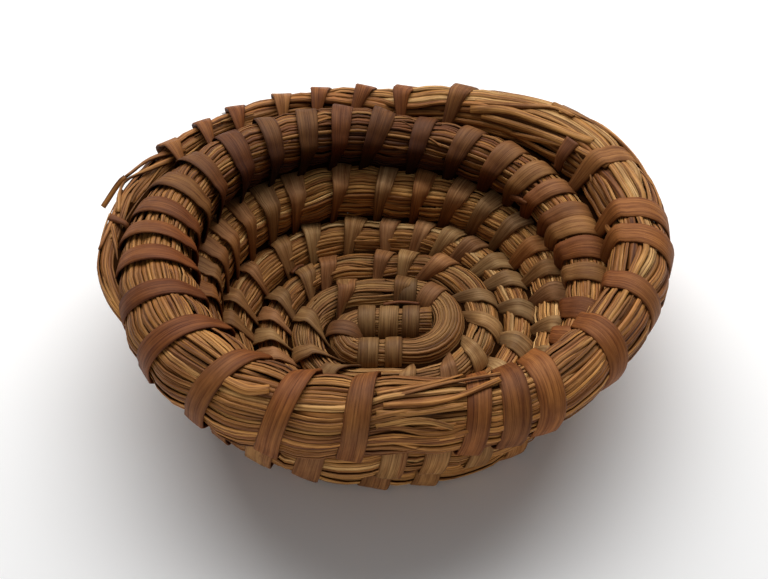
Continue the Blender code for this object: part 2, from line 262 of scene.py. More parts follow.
class Coil:
    """The course of the bundle, sampled evenly along its length.

    Each sample has its distance and turn, its centre, the lines along, outwards and upwards, its radius, the
    sample of the round inside with the angle to it, and the angle to the round outside.
    """

    STEP = 0.001

    def __init__(self):
        turns, places = self.rough_course()
        runs = np.concatenate([[0], np.cumsum(np.linalg.norm(np.diff(places, axis=0), axis=1))])
        self.length = runs[-1]
        self.count = int(self.length / self.STEP) + 1
        self.runs = np.linspace(0, self.length, self.count)
        self.turns = np.interp(self.runs, runs, turns)
        self.centres = np.stack([np.interp(self.runs, runs, places[:, k]) for k in range(3)], 1)
        smooth = np.ones(5) / 5
        for k in range(3):
            padded = np.pad(self.centres[:, k], 2, mode="edge")
            self.centres[:, k] = np.convolve(padded, smooth, mode="valid")
        along = np.gradient(self.centres, axis=0)
        self.along = along / np.linalg.norm(along, axis=1, keepdims=True)
        self.out = np.stack([self.along[:, 1], -self.along[:, 0], np.zeros(self.count)], 1)
        self.out /= np.linalg.norm(self.out, axis=1, keepdims=True)
        self.up = np.cross(self.out, self.along)
        self.radii = np.array([thickness(turn) / 2 + between(CLOSER_BY_TURN, turn) for turn in self.turns])
        self.swell()
        self.feet = np.array([self.foot(k) for k in range(self.count)])
        inner = self.centres[np.clip(self.feet, 0, None)] - self.centres
        self.inward = np.arctan2((inner * self.up).sum(1), (inner * self.out).sum(1))
        self.inward = np.unwrap(self.inward)
        self.inward[: int(np.searchsorted(self.turns, INNER_TURN))] = math.pi
        self.bearings = self.bearing_rows()

    def rough_course(self):
        """Turns and places of the course from the cut end on, bulged and pushed back as on the real one."""
        count = int((END_TURN - START_TURN) * SAMPLES_PER_TURN)
        turns = np.linspace(START_TURN, END_TURN, count)
        places = np.array([course(turn) for turn in turns])
        places[:, 1] -= FRONT_BULGE * np.exp(-(((turns - BULGE_TURN) / BULGE_TURNS) ** 2))
        rightward = np.clip((places[:, 0] - RIGHT_FROM) / RIGHT_SPAN, 0, 1) ** 1.5
        leftward = np.clip((-LEFT_FROM - places[:, 0]) / LEFT_SPAN, 0, 1)
        backward = RIGHT_BACK * rightward + LEFT_BACK * leftward
        places[:, 1] += backward * np.clip(places[:, 2] / FULL_HEIGHT, 0, 1)
        over = np.linspace(START_OVER, 0, OVER_SAMPLES)[:-1]
        places = np.concatenate([places[0] + over[:, None] * np.array([1, 0, 0]), places])
        return np.concatenate([START_TURN - over, turns]), places

    def swell(self):
        """Swells the rim outwards, and lays the tail against it with its end tucked in."""
        swells = np.array([between(SWELL_BY_TURN, turn) for turn in self.turns])
        pushed = np.array([between(SWELL_BY_TURN, turn - 1) for turn in self.turns])
        self.radii += swells / 2
        pushed[self.turns < BESIDE_TURN] = 0
        tucked = np.clip((self.turns - TUCK_TURN) / TUCK_TURNS, 0, 1)
        self.centres += self.out * (swells / 2 + pushed * (1 - tucked) - TUCK_DEPTH * tucked)[:, None]

    def foot(self, k):
        """Number of the sample in the round inside whose section reaches sample k."""
        turn = self.turns[k] - 1
        if turn < START_TURN:
            return -1
        low = int(np.searchsorted(self.turns, turn))
        spread = max(int(FOOT_REACH / self.STEP), 1)
        first, last = max(low - spread, 0), min(low + spread, self.count - 1)
        gaps = np.linalg.norm(self.centres[first : last + 1] - self.centres[k], axis=1)
        return first + int(np.argmin(gaps))

    def bearing_rows(self):
        """Angle, in each section, of the line to the round outside."""
        rows = np.zeros(self.count)
        for k in range(self.count):
            # The last round has none outside it, so it keeps the last bearing before it
            turn = min(self.turns[k], END_TURN - OUTER_STOP)
            near = int(np.searchsorted(self.turns, turn))
            line = np.array(course(turn + 1)) - self.centres[near]
            rows[k] = math.atan2(line @ self.up[near], line @ self.out[near])
        return rows

    def number(self, run):
        """Number of the sample at a distance along the coil."""
        return int(min(max(round(run / self.STEP), 0), self.count - 1))

    def run_of(self, turn):
        """Distance along the coil at a turn."""
        return float(np.interp(turn, self.turns, self.runs))

    def row(self, values, run):
        """Value or vector of a sampled row at any distance along the coil."""
        # A little under the last sample, so that there is always a next one
        place = min(max(run / (self.length / (self.count - 1)), 0), self.count - 1.000001)
        low = int(place)
        share = place - low
        return values[low] * (1 - share) + values[low + 1] * share

    def section(self, run):
        """Centre of the bundle and the lines outwards and upwards across it."""
        return [self.row(values, run) for values in (self.centres, self.out, self.up)]

    def spoke(self, run, angle, depth):
        """Point at an angle and a distance from the centre, and the lines round the bundle and outwards."""
        centre, out, up = self.section(run)
        spoke = out * math.cos(angle) + up * math.sin(angle)
        across = -out * math.sin(angle) + up * math.cos(angle)
        return centre + spoke * depth, across, spoke

    def point(self, run, angle, radius):
        """Point at an angle and a distance from the bundle's centre."""
        return self.spoke(run, angle, radius)[0]


COIL = Coil()

# Size of the picture in pixels and of the camera's sensor in millimetres
PICTURE = (768, 579)
SENSOR = 36


class View:
    """The camera's place and lens, and where its picture shows a point."""

    def __init__(self, elevation, distance, target, lens):
        self.back = np.array([0, -math.cos(elevation), math.sin(elevation)])
        self.up = np.array([0, math.sin(elevation), math.cos(elevation)])
        self.place = np.array(target) + self.back * distance
        self.lens = lens
        self.focal = PICTURE[0] * lens / SENSOR

    def seen(self, points):
        """Where points show in the picture, in pixels."""
        lines = np.asarray(points) - self.place
        depth = -(lines @ self.back)
        across = PICTURE[0] / 2 + self.focal * lines[..., 0] / depth
        down = PICTURE[1] / 2 - self.focal * (lines @ self.up) / depth
        return np.stack([across, down], -1)

    def at_height(self, mark, height):
        """Point that shows at a mark and lies at a height."""
        line = np.array([mark[0] - PICTURE[0] / 2, 0, 0]) / self.focal
        line = line - self.back + self.up * (PICTURE[1] / 2 - mark[1]) / self.focal
        return self.place + line * (height - self.place[2]) / line[2]


VIEW = View(math.radians(51.31), 0.5033, (-0.00195, -0.00719, 0.02802), 67.2)

# Middles of the splints in the picture, by the turns of the coil that they lie on
BAND_MARKS = (
    (0.2, 0.42, ((366, 315), (390, 317), (424, 318))),
    (0.42, 0.62, ((345, 328),)),
    (0.62, 0.95, ((369, 347), (393, 350))),
    (0.95, 1.24, ((429, 292), (408, 285))),
)
STITCH_MARKS = (
    (1.22, 1.8, ((354, 291), (312, 310), (307, 347), (331, 360))),
    (1.8, 2.7, (
        (487, 329), (481, 303), (442, 278), (414, 266), (388, 260), (338, 270), (318, 279), (288, 292),
        (266, 306), (265, 331), (268, 350),
    )),
    (2.8, 3.7, (
        (514, 349), (519, 317), (514, 284), (502, 267), (476, 249), (453, 247), (428, 236), (395, 231),
        (361, 229), (324, 245), (289, 244), (256, 262), (235, 290), (231, 315),
    )),
    (3.6, 3.9, ((296, 456), (372, 464), (428, 471))),
    (3.9, 4.7, (
        (552, 304), (552, 277), (542, 248), (521, 228), (494, 211), (464, 199), (428, 189), (390, 186),
        (348, 183), (301, 188), (272, 199), (244, 206), (221, 223), (203, 235), (193, 258), (186, 281),
    )),
    (4.64, 4.9, ((245, 430), (319, 444), (400, 447), (444, 457), (490, 447))),
    (4.9, 5.66, (
        (568, 311), (586, 277), (592, 248), (593, 221), (584, 203), (557, 185), (534, 173), (509, 153),
        (469, 143), (424, 135), (383, 130), (346, 130), (312, 130), (276, 138), (241, 148), (206, 160),
        (183, 178), (161, 199), (153, 226), (141, 252), (147, 291),
    )),
    (5.5, 6.16, (
        (133, 298), (164, 338), (217, 378), (287, 392), (358, 407), (483, 421), (512, 392), (549, 387),
        (600, 334), (631, 288), (641, 241), (645, 211), (609, 159),
    )),
    (6.14, 6.5, (
        (463, 105), (411, 105), (371, 98), (329, 101), (291, 108), (249, 120), (216, 133), (183, 150),
    )),
)
# Stretches of the rim without a stitch: the first turn to look at, and the marks at both ends
BARE_MARKS = ((5.5, (358, 407), (483, 421)), (5.9, (609, 159), (463, 105)))
# Highest turn on which those stretches are looked for, and how far past their ends they reach
BARE_END = 6.5
BARE_MARGIN = 0.002
# Least distance between two stitches, and the first turn that is sewn to a round inside
LEAST_SPACING = 0.0062
FIRST_SEWN = 1.2
# A gap gets more stitches when it is this much over the usual distance
WIDE_GAP = 1.6
# How far out from the bundle's centre a splint's middle shows
MARK_DEPTH = 0.85


def near_run(mark, low, high):
    """Distance along the coil where the near side of a round shows at a mark."""
    rows = np.nonzero((COIL.turns >= low) & (COIL.turns <= high))[0]
    lines = VIEW.place - COIL.centres[rows]
    lines -= COIL.along[rows] * (lines * COIL.along[rows]).sum(1)[:, None]
    lines /= np.linalg.norm(lines, axis=1, keepdims=True)
    sides = COIL.centres[rows] + lines * COIL.radii[rows][:, None] * MARK_DEPTH
    gaps = np.linalg.norm(VIEW.seen(sides) - np.array(mark), axis=1)
    return float(COIL.runs[rows[int(np.argmin(gaps))]])


def sewn_runs():
    """Distances along the coil of all stitches: those that show, and even ones where none can."""
    dice = random.Random(11)
    shown = sorted(near_run(mark, low, high) for low, high, marks in STITCH_MARKS for mark in marks)
    bare = [(near_run(a, low, BARE_END), near_run(b, low, BARE_END)) for low, a, b in BARE_MARKS]
    runs = []
    for run in [COIL.run_of(FIRST_SEWN), *shown]:
        if not runs:
            runs.append(run)
            continue
        gap = run - runs[-1]
        if gap < LEAST_SPACING:
            continue
        middle = (run + runs[-1]) / 2
        pitch = between(PITCH_BY_TURN, float(np.interp(middle, COIL.runs, COIL.turns)))
        more = round(gap / pitch) - 1
        if gap > pitch * WIDE_GAP and not any(a - BARE_MARGIN < middle < b + BARE_MARGIN for a, b in bare):
            first = runs[-1]
            runs += [first + gap * (k + dice.uniform(0.9, 1.1)) / (more + 1) for k in range(1, more + 1)]
        runs.append(run)
    return runs


STITCH_RUNS = sewn_runs()
BAND_RUNS = [near_run(mark, low, high) for low, high, marks in BAND_MARKS for mark in marks]
WRAPPED_RUNS = sorted(STITCH_RUNS + BAND_RUNS)

# How far a splint moves along the bundle over the angle that it turns round it
SKEW = 0.0075
TURNED = math.radians(220)
# Reach and share of the waist that a splint draws into the bundle, which is a little fuller between them
WAIST = 0.0058
DRAWN_IN = 0.09
FULLER = 1.02
# How red, green and blue change where painted light and shade or the splints' lightening alter a colour, and
# in deep painted shade
WARM_SHADE = np.array([0.8, 1.0, 1.3])
DEEP_SHADE = np.array([0.95, 1.25, 1.9])


def full(run, angle=None):
    """Radius of the bundle, drawn in under each splint, which slants from side to side."""
    radius = COIL.row(COIL.radii, run)
    slant = 0.0
    if angle is not None:
        slant = math.remainder(angle - COIL.row(COIL.inward, run) - math.pi, 2 * math.pi) / TURNED * SKEW
    place = run - slant
    near = bisect.bisect_left(WRAPPED_RUNS, place)
    nearest = min((abs(WRAPPED_RUNS[k] - place) for k in (near - 1, near) if 0 <= k < len(WRAPPED_RUNS)))
    return radius * (FULLER - DRAWN_IN * math.exp(-((nearest / WAIST) ** 4)))


def ring_angles(count, first=0.0):
    """Angles of the corners of a ring."""
    return np.arange(count) * 2 * math.pi / count + first


def above_table(rings, height):
    """Rings with nothing below a height."""
    rings = np.array(rings)
    rings[:, :, 2] = np.maximum(rings[:, :, 2], height)
    return rings


class Surface:
    """A mesh gathered from many rows of rings, with its grain map and colours."""

    # How far apart in the grain map two lots lie, along and round, and the size of a cap there
    LOT_ALONG = 3
    LOT_ROUND = 7
    CAP_STEP = 1e-4

    def __init__(self, name):
        self.name = name
        self.points = []
        self.quads = []
        self.map = []
        self.dyes = []
        self.lots = []
        self.total = 0

    def add(self, rings, dye, lot, painted_shades=None):
        """Adds a tube with closed ends. rings is (rows, sides, 3). The last argument gives each side's
        painted shade, which darkens its colour.
        """
        rings = np.asarray(rings, float)
        rows, sides, _ = rings.shape
        self.points.append(rings.reshape(-1, 3))
        first = (np.arange(rows - 1)[:, None] * sides + np.arange(sides)[None, :]).ravel()
        turn = (np.arange(rows - 1)[:, None] * sides + (np.arange(sides)[None, :] + 1) % sides).ravel()
        self.quads.append(np.stack([first, turn, turn + sides, first + sides], 1) + self.total)
        steps = np.linalg.norm(np.diff(rings.mean(1), axis=0), axis=1)
        along = np.concatenate([[0], np.cumsum(steps)]) + lot * self.LOT_ALONG
        widths = np.linalg.norm(np.roll(rings[rows // 2], -1, axis=0) - rings[rows // 2], axis=1)
        round_it = np.concatenate([[0], np.cumsum(widths)]) + lot * self.LOT_ROUND
        u0, u1 = np.repeat(along[:-1], sides), np.repeat(along[1:], sides)
        v0, v1 = np.tile(round_it[:-1], rows - 1), np.tile(round_it[1:], rows - 1)
        self.map.append(np.stack([u0, v0, u0, v1, u1, v1, u1, v0], 1).reshape(-1, 2))
        self.cap(0, sides, along[0], round_it)
        self.cap(rows - 1, sides, along[-1], round_it)
        painted_shades = np.ones(sides) if painted_shades is None else np.asarray(painted_shades)
        dye = np.broadcast_to(np.asarray(dye), (rows, 3))
        self.dyes.append((dye[:, None, :] * painted_shades[None, :, None] ** WARM_SHADE).reshape(-1, 3))
        self.lots.append(np.full(rows * sides, lot))
        self.total += rows * sides

    def cap(self, end, sides, here, round_it):
        """Closes one end of a tube with quads across its corners."""
        for k in range(1, sides - 2, 2):
            corners = [0, k, k + 1, min(k + 2, sides - 1)]
            if end == 0:
                corners = corners[::-1]
            self.quads.append(np.array([corners]) + end * sides + self.total)
            self.map.append(np.array([[here + c * self.CAP_STEP, round_it[c]] for c in corners]))

    def made(self, material):
        """The mesh as an object in the scene."""
        points = np.concatenate(self.points).astype(np.float32)
        quads = np.concatenate(self.quads).astype(np.int32)
        mesh = bpy.data.meshes.new(self.name)
        mesh.vertices.add(len(points))
        mesh.vertices.foreach_set("co", points.ravel())
        mesh.loops.add(quads.size)
        mesh.loops.foreach_set("vertex_index", quads.ravel())
        mesh.polygons.add(len(quads))
        mesh.polygons.foreach_set("loop_start", np.arange(len(quads), dtype=np.int32) * 4)
        mesh.update(calc_edges=True)
        grain = mesh.uv_layers.new(name="grain")
        grain.data.foreach_set("uv", np.concatenate(self.map).astype(np.float32).ravel())
        dyes = np.concatenate(self.dyes)
        dyes = np.concatenate([dyes, np.ones((len(dyes), 1))], 1)
        # Each corner's colour, with its painted light and shade
        dye = mesh.attributes.new("dye", "FLOAT_COLOR", "POINT")
        dye.data.foreach_set("color", dyes.astype(np.float32).ravel())
        lot = mesh.attributes.new("lot", "FLOAT", "POINT")
        lot.data.foreach_set("value", np.concatenate(self.lots).astype(np.float32))
        mesh.validate()
        mesh.shade_smooth()
        mesh.materials.append(material)
        made = bpy.data.objects.new(self.name, mesh)
        bpy.context.scene.collection.objects.link(made)
        return made


def plug(place, value):
    """Gives an input socket a value or a link."""
    if isinstance(value, Wire):
        place.id_data.links.new(place, value.socket)
    else:
        place.default_value = value


class Wire:
    """An output socket that adds Math nodes where it is used in arithmetic."""

    def __init__(self, socket):
        self.socket = socket

    def worked(self, operation, first, second):
        """A Math node's output for two values or links."""
        made = self.socket.id_data.nodes.new("ShaderNodeMath")
        made.operation = operation
        plug(made.inputs[0], first)
        plug(made.inputs[1], second)
        return Wire(made.outputs[0])

    def __add__(self, other):
        return self.worked("ADD", self, other)

    def __radd__(self, other):
        return self.worked("ADD", other, self)

    def __sub__(self, other):
        return self.worked("SUBTRACT", self, other)

    def __rsub__(self, other):
        return self.worked("SUBTRACT", other, self)

    def __mul__(self, other):
        return self.worked("MULTIPLY", self, other)

    def __rmul__(self, other):
        return self.worked("MULTIPLY", other, self)


class Nodes:
    """A node tree whose nodes are added by one method."""

    def __init__(self, tree):
        self.tree = tree

    def add(self, kind, settings=None, out=0, **values):
        """A node of a kind, with its settings and its sockets' values or links, by name or as _number."""
        made = self.tree.nodes.new("ShaderNode" + kind)
        for key, value in (settings or {}).items():
            if key == "stops":
                while len(made.color_ramp.elements) < len(value):
                    made.color_ramp.elements.new(1)
                for element, (place, colour) in zip(made.color_ramp.elements, value):
                    element.position = place
                    element.color = colour
            else:
                setattr(made, key, value)
        for key, value in values.items():
            place = int(key[1:]) if key[0] == "_" else key.replace("_", " ")
            plug(made.inputs[place], value)
        return Wire(made.outputs[out])

    def ranged(self, value, low, high, end=1.0):
        """A value's way from low to high, as 0 to 1 or to another end."""
        return self.add("MapRange", Value=value, _1=low, _2=high, _3=0.0, _4=end)

    def mixed(self, kind, factor, first, second):
        """Two colours mixed by a factor."""
        settings = {"data_type": "RGBA", "blend_type": kind}
        return self.add("Mix", settings, out=2, _0=factor, _6=first, _7=second)


# How far apart the slices of noise lie for the lots
SLICE_STEP = 37.0


class Finish(Nodes):
    """A material's nodes and its shader."""

    def __init__(self, name):
        self.material = bpy.data.materials.new(name)
        self.material.use_nodes = True
        super().__init__(self.material.node_tree)
        self.shader = self.tree.nodes["Principled BSDF"]

    def feed(self, **values):
        """Gives the shader's inputs their values or links."""
        for key, value in values.items():
            plug(self.shader.inputs[key.replace("_", " ")], value)

    def stretched(self, along, across):
        """The grain map, scaled along and across the fibre, with a slice of its own for each lot."""
        run = self.add("UVMap", {"uv_map": "grain"})
        lot = self.add("Attribute", {"attribute_name": "lot"}, out="Fac")
        x = self.add("SeparateXYZ", Vector=run, out=0)
        y = self.add("SeparateXYZ", Vector=run, out=1)
        return self.add("CombineXYZ", X=x * along, Y=y * across, Z=lot * SLICE_STEP)

    def placed(self, scale):
        """Places in the basket's own frame, scaled."""
        place = self.add("TexCoord", out="Object")
        return self.add("VectorMath", {"operation": "SCALE"}, _0=place, Scale=scale)

    def noise(self, vector, detail, roughness):
        """Soft noise over a vector that is scaled already."""
        return self.add("TexNoise", Vector=vector, Scale=1.0, Detail=detail, Roughness=roughness)


def straw_finish(name, straw):
    """Dry straw with fine streaks along it, soiled in places and stained."""
    finish = Finish(name)
    # The straws' colours, which carry painted light and shade
    dye = finish.add("Attribute", {"attribute_name": "dye"}, out="Color")
    streaks = finish.noise(finish.stretched(along=40.0, across=1700.0), detail=5.0, roughness=0.66)
    blotches = finish.noise(finish.stretched(along=90.0, across=500.0), detail=3.0, roughness=0.55)
    grooves = finish.ranged(streaks, 0.40, 0.60)
    tones = finish.add("ValToRGB", {"stops": (
        (0.0, (0.34, 0.24, 0.15, 1)),
        (0.4, (0.84, 0.80, 0.72, 1)),
        (1.0, (1.28, 1.28, 1.24, 1)),
    )}, Fac=grooves)
    shade = finish.mixed("MULTIPLY", 1.0, dye, tones)
    soil = finish.noise(finish.placed(70.0), detail=3.0, roughness=0.6)
    shade = finish.mixed("MULTIPLY", finish.ranged(soil, 0.40, 0.66, end=0.75), shade, (*straw.soil, 1))
    shade = finish.mixed("MIX", finish.ranged(blotches, 0.52, 0.74, end=0.38), shade, (*straw.stain, 1))
    finish.feed(
        Base_Color=shade,
        Roughness=0.66 - grooves * 0.18,
        Specular_IOR_Level=0.2,
        Normal=finish.add("Bump", Strength=0.8, Distance=0.00024, Height=streaks),
    )
    return finish.material


def hollow_finish(name, straw):
    """Dull straw deep between the outer stalks, made dark as painted shade."""
    finish = Finish(name)
    dye = finish.add("Attribute", {"attribute_name": "dye"}, out="Color")
    streaks = finish.noise(finish.stretched(along=60.0, across=1400.0), detail=3.0, roughness=0.6)
    finish.feed(
        Base_Color=finish.mixed("MULTIPLY", streaks, dye, (*straw.hollow, 1)),
        Roughness=1.0,
        Specular_IOR_Level=0.0,
        Normal=finish.add("Bump", Strength=0.6, Distance=0.0003, Height=streaks),
    )
    return finish.material


def splint_finish(name, splints):
    """Aged split wood with fine lengthwise grain, soiled in places and dark in patches."""
    finish = Finish(name)
    # The splints' colours, which carry painted light and shade
    dye = finish.add("Attribute", {"attribute_name": "dye"}, out="Color")
    fine = finish.noise(finish.stretched(along=40.0, across=2600.0), detail=5.0, roughness=0.68)
    broad = finish.noise(finish.stretched(along=70.0, across=520.0), detail=4.0, roughness=0.6)
    lines = finish.ranged(fine, 0.38, 0.58)
    tones = finish.add("ValToRGB", {"stops": (
        (0.0, (0.60, 0.50, 0.38, 1)),
        (0.4, (0.90, 0.87, 0.76, 1)),
        (1.0, (1.20, 1.18, 1.04, 1)),
    )}, Fac=lines)
    shade = finish.mixed("MULTIPLY", 1.0, dye, tones)
    soil = finish.noise(finish.placed(85.0), detail=3.0, roughness=0.6)
    shade = finish.mixed("MULTIPLY", finish.ranged(soil, 0.42, 0.68, end=0.7), shade, (*splints.soil, 1))
    shade = finish.mixed("MULTIPLY", finish.ranged(broad, 0.38, 0.64, end=0.9), shade, (*splints.patches, 1))
    finish.feed(
        Base_Color=shade,
        Roughness=0.68 - lines * 0.12,
        Specular_IOR_Level=0.17,
        Normal=finish.add("Bump", Strength=0.55, Distance=0.0002, Height=fine + broad * 1.2),
    )
    return finish.material


def linear(red, green, blue):
    """Linear colour of three 8-bit values."""
    return tuple(
        value / 255 / 12.92 if value <= 10 else ((value / 255 + 0.055) / 1.055) ** 2.4
        for value in (red, green, blue)
    )


# How often each colour of straw and each colour of a part's splints comes
STRAW_WEIGHTS = (("golden", 5), ("tan", 6), ("brown", 5), ("pale", 2), ("dark", 3))
SPLINT_TONES = ("main", "deep", "dull")
SPLINT_WEIGHTS = {"floor": (4, 3, 3), "wall": (5, 4, 3), "high_wall": (5, 4, 2), "rim": (5, 5, 2)}
# The widths that the tables give for the widest straws and splints
WIDEST_STRAW = 0.0026
WIDEST_SPLINT = 0.0087
# Blender keeps a property in single precision, and this many digits bring back the number that was typed
SURE_DIGITS = 6


def size_property(name, description, default):
    """A property for a size in metres."""
    return bpy.props.FloatProperty(
        name=name, description=description, default=default, min=0.0001, precision=5, unit="LENGTH"
    )


def colour_property(name, description, default):
    """A property for a linear colour."""
    return bpy.props.FloatVectorProperty(
        name=name, description=description, default=default, min=0.0, max=1.0, subtype="COLOR"
    )


def power_property(name, description, default):
    """A property for a lamp's power in watts."""
    return bpy.props.FloatProperty(name=name, description=description, default=default, min=0.0, unit="POWER")


class BasketStraw(bpy.types.PropertyGroup):
    """Sizes and colours of the straw"""

    width: size_property("Straw width", "Width of the widest straws, at the tail", WIDEST_STRAW)
    frayed: bpy.props.IntProperty(
        name="Frayed straws", description="Short broken straws on the bundle", default=260, min=0
    )
    golden: colour_property("Golden", "Straw that has kept its shine", linear(178, 128, 70))
    tan: colour_property("Tan", "The most common straw", linear(164, 114, 60))
    brown: colour_property("Brown", "Straw that has been handled much", linear(152, 102, 52))
    pale: colour_property("Pale", "The lightest straw", linear(198, 154, 98))
    dark: colour_property("Dark", "The darkest straw", linear(138, 88, 42))
    dull: colour_property("Dull", "Worn straw in the middle of the floor", linear(126, 94, 54))
    # The core and the seam are coloured dark as painted shade, and the hollow tint darkens them further as
    # painted shade
    core: colour_property("Core", "Straw inside the bundle", linear(60, 34, 14))
    seam: colour_property("Seam", "Straw pressed in between two rounds", linear(46, 26, 11))
    hollow: colour_property("Hollow", "Tint of the straw that lies in shade", (0.25, 0.18, 0.12))
    soil: colour_property("Soil", "Tint of the soiled places", (0.62, 0.50, 0.38))
    stain: colour_property("Stain", "Dark stains along the straw", (0.19, 0.085, 0.028))

    def dyes(self):
        """The straws' colours, each with how often it comes."""
        return [(tuple(getattr(self, name)), weight) for name, weight in STRAW_WEIGHTS]

    def scale(self):
        """How much wider the straws are than the tables say."""
        return round(self.width / WIDEST_STRAW, SURE_DIGITS)


class BasketSplints(bpy.types.PropertyGroup):
    """Sizes and colours of the splints"""

    width: size_property("Splint width", "Width of the splints that sew the rim", WIDEST_SPLINT)
    thickness: size_property("Splint thickness", "Thickness of the split wood", 0.0008)
    floor_main: colour_property("Floor", "The most common splint on the floor", linear(138, 104, 66))
    floor_deep: colour_property("Floor, deep", "A darker splint on the floor", linear(124, 92, 58))
    floor_dull: colour_property("Floor, dull", "A browner splint on the floor", linear(134, 92, 58))
    wall_main: colour_property("Wall", "The most common splint on the low wall", linear(136, 86, 44))
    wall_deep: colour_property("Wall, deep", "A darker splint on the low wall", linear(120, 76, 40))
    wall_dull: colour_property("Wall, dull", "A greyer splint on the low wall", linear(136, 96, 57))
    high_wall_main: colour_property("High wall", "The most common splint under the rim", linear(126, 72, 34))
    high_wall_deep: colour_property("High wall, deep", "A darker splint under the rim", linear(110, 62, 29))
    high_wall_dull: colour_property("High wall, dull", "A greyer splint under the rim", linear(134, 92, 52))
    rim_main: colour_property("Rim", "The most common splint on the rim", linear(146, 91, 46))
    rim_deep: colour_property("Rim, deep", "A darker splint on the rim", linear(134, 81, 39))
    rim_dull: colour_property("Rim, dull", "A greyer splint on the rim", linear(141, 94, 52))
    loose: colour_property("Loose end", "Broken ends of splint", linear(112, 68, 38))
    worn: colour_property("Worn", "Splints where hands and goods rub them", linear(162, 118, 74))
    # Painted shade at the splints' ends, where they go under
    dark: colour_property("Dark", "Splints where they go under", linear(74, 38, 18))
    # Painted light: a lighter, greyer colour high in the rounds of the wall at the back
    painted_light_high: colour_property("Faded", "Splints high in the rounds of the wall", linear(156, 120, 86))
    soil: colour_property("Soil", "Tint of the soiled places", (0.66, 0.60, 0.56))
    patches: colour_property("Patches", "Tint of the wood's dark patches", (0.62, 0.51, 0.42))

    def dyes(self, part):
        """The colours of a part's splints, each with how often it comes."""
        tones = zip(SPLINT_TONES, SPLINT_WEIGHTS[part])
        return [(tuple(getattr(self, f"{part}_{tone}")), weight) for tone, weight in tones]

    def scale(self):
        """How much wider the splints are than the tables say."""
        return round(self.width / WIDEST_SPLINT, SURE_DIGITS)

    def thick(self):
        """Thickness of the split wood, as it was typed."""
        return round(self.thickness, SURE_DIGITS)


class BasketStage(bpy.types.PropertyGroup):
    """Light and colours of the stage"""

    back_window: power_property("Window", "Power of the large soft lamp behind the basket", 17.2)
    front_bounce: power_property("Bounce", "Power of the low lamp in front", 2.4)
    room: bpy.props.FloatProperty(
        name="Room light", description="Strength of the even light from all round", default=0.195, min=0.0
    )
    # The table is a little darker in front than behind: painted shade
    near: colour_property("Near table", "The table in front of the basket", (0.88, 0.89, 0.90))
    far: colour_property("Far table", "The table behind the basket", (0.97, 0.97, 0.97))


# How much lighter and greyer the splints are made at each turn, most on the floor
SPLINTS_LIGHTER_BY_TURN = (
    (1.2, 0.05),
    (1.9, 0.5),
    (2.7, 0.45),
    (3.2, 0.25),
    (3.9, 0.05),
    (4.2, 0.0),
)
# Painted shade of each corner of a splint's ring: across its face, which is darker to both edges, and back
# below it
SPLINT_SHADES = (0.62, 0.86, 1.0, 1.04, 1.0, 0.86, 0.62, 0.4, 0.4, 0.4, 0.4, 0.4, 0.4, 0.4)


def drawn_dye(dice, dyes, spread):
    """A colour of a weighted palette, a little lighter or darker."""
    colours = [dye for dye, _ in dyes]
    colour = dice.choices(colours, [weight for _, weight in dyes])[0]
    level = dice.uniform(1 - spread, 1 + spread)
    warm = dice.uniform(-0.04, 0.04)
    return (colour[0] * level * (1 + warm), colour[1] * level, colour[2] * level * (1 - warm))


def aged(colour, dull, turn, dice):
    """Straw near the middle of the floor is greyer and duller."""
    grey = share_of(3.4 - turn, 2.2) * dice.uniform(0.35, 0.8)
    return tuple(value * (1 - grey) + flat * grey for value, flat in zip(colour, dull))


def level_in_round(turn, place):
    """How high a place lies in its round, from -1 at the bottom to 1 at the top."""
    middle = COIL.row(COIL.centres, COIL.run_of(turn))[2]
    return min(max((place[2] - middle) / (thickness(turn) / 2), -1.0), 1.0)


def painted_light_and_shade(turn, place):
    """Painted light and shade at a place, as factors for red, green and blue, with the rim a little darker.
    """
    high_wall = share_of(turn - 4.75, 0.3) * share_of(5.75 - turn, 0.25)
    low_wall = share_of(turn - 2.6, 0.6) * share_of(4.75 - turn, 0.3)
    rim = share_of(turn - 5.45, 0.2) * share_of(6.0 - turn, 0.2)
    back = share_of(place[1] + 0.01, 0.05)
    right = share_of(place[0] - 0.02, 0.04) * share_of(5.6 - turn, 0.3)
    low = (1 - level_in_round(turn, place)) / 2
    # Painted shade: dark low in each round at the back, most under the rim, and less on the right
    deep = min(back * (high_wall * (0.46 + 0.85 * low) + low_wall * 0.95 * low), 0.9) * (1 - 0.6 * right)
    # Painted light on the low wall at the back and on the right, and the rim's colour a little darker
    light = 1 + 0.85 * low_wall * max(back, right) + 0.3 * right * (1 - low_wall) - 0.16 * rim
    return (1 - deep) ** DEEP_SHADE * light ** WARM_SHADE


# Length over which a straw comes up or goes under, and the distance from ring to ring
GROWING = 0.021
STALK_STEP = 0.003
# Corners of a straw's ring, with the painted shade of each, from the outer one round: darkest underneath,
# facing into the bundle
STALK_SIDES = 6
STALK_SHADES = (1.08, 0.9, 0.26, 0.22, 0.26, 0.9)
# Range of a straw's width as a share of the usual one, and of its length before it ends
STRAW_SPREAD = (0.72, 1.35)
STRAW_LIFE = (0.06, 0.26)
# How full the bundle's girth may get before the oldest straw ends, or must be before no more are added
CROWDED = 1.03
FILLED = 0.99
# Angle in radians by which the straws turn round the bundle in each step
TWIST = 0.004
# Fewest straws in the bundle, and fewest rings of one that is made
LEAST_STRAWS = 4
LEAST_RINGS = 3
# How far a straw's middle lies in from the outside, as a share of its width, when straws are counted round it
GIRTH_DEPTH = 0.4
# Ranges of a straw's depth, its flatness and the length of its waves, of which it has three
STALK_LIFT = (-0.42, 0.16)
STALK_FLAT = (0.25, 0.65)
WAVE_LENGTH = (0.03, 0.09)
WAVE_COUNT = 3
WAVE_TURN = 6.283
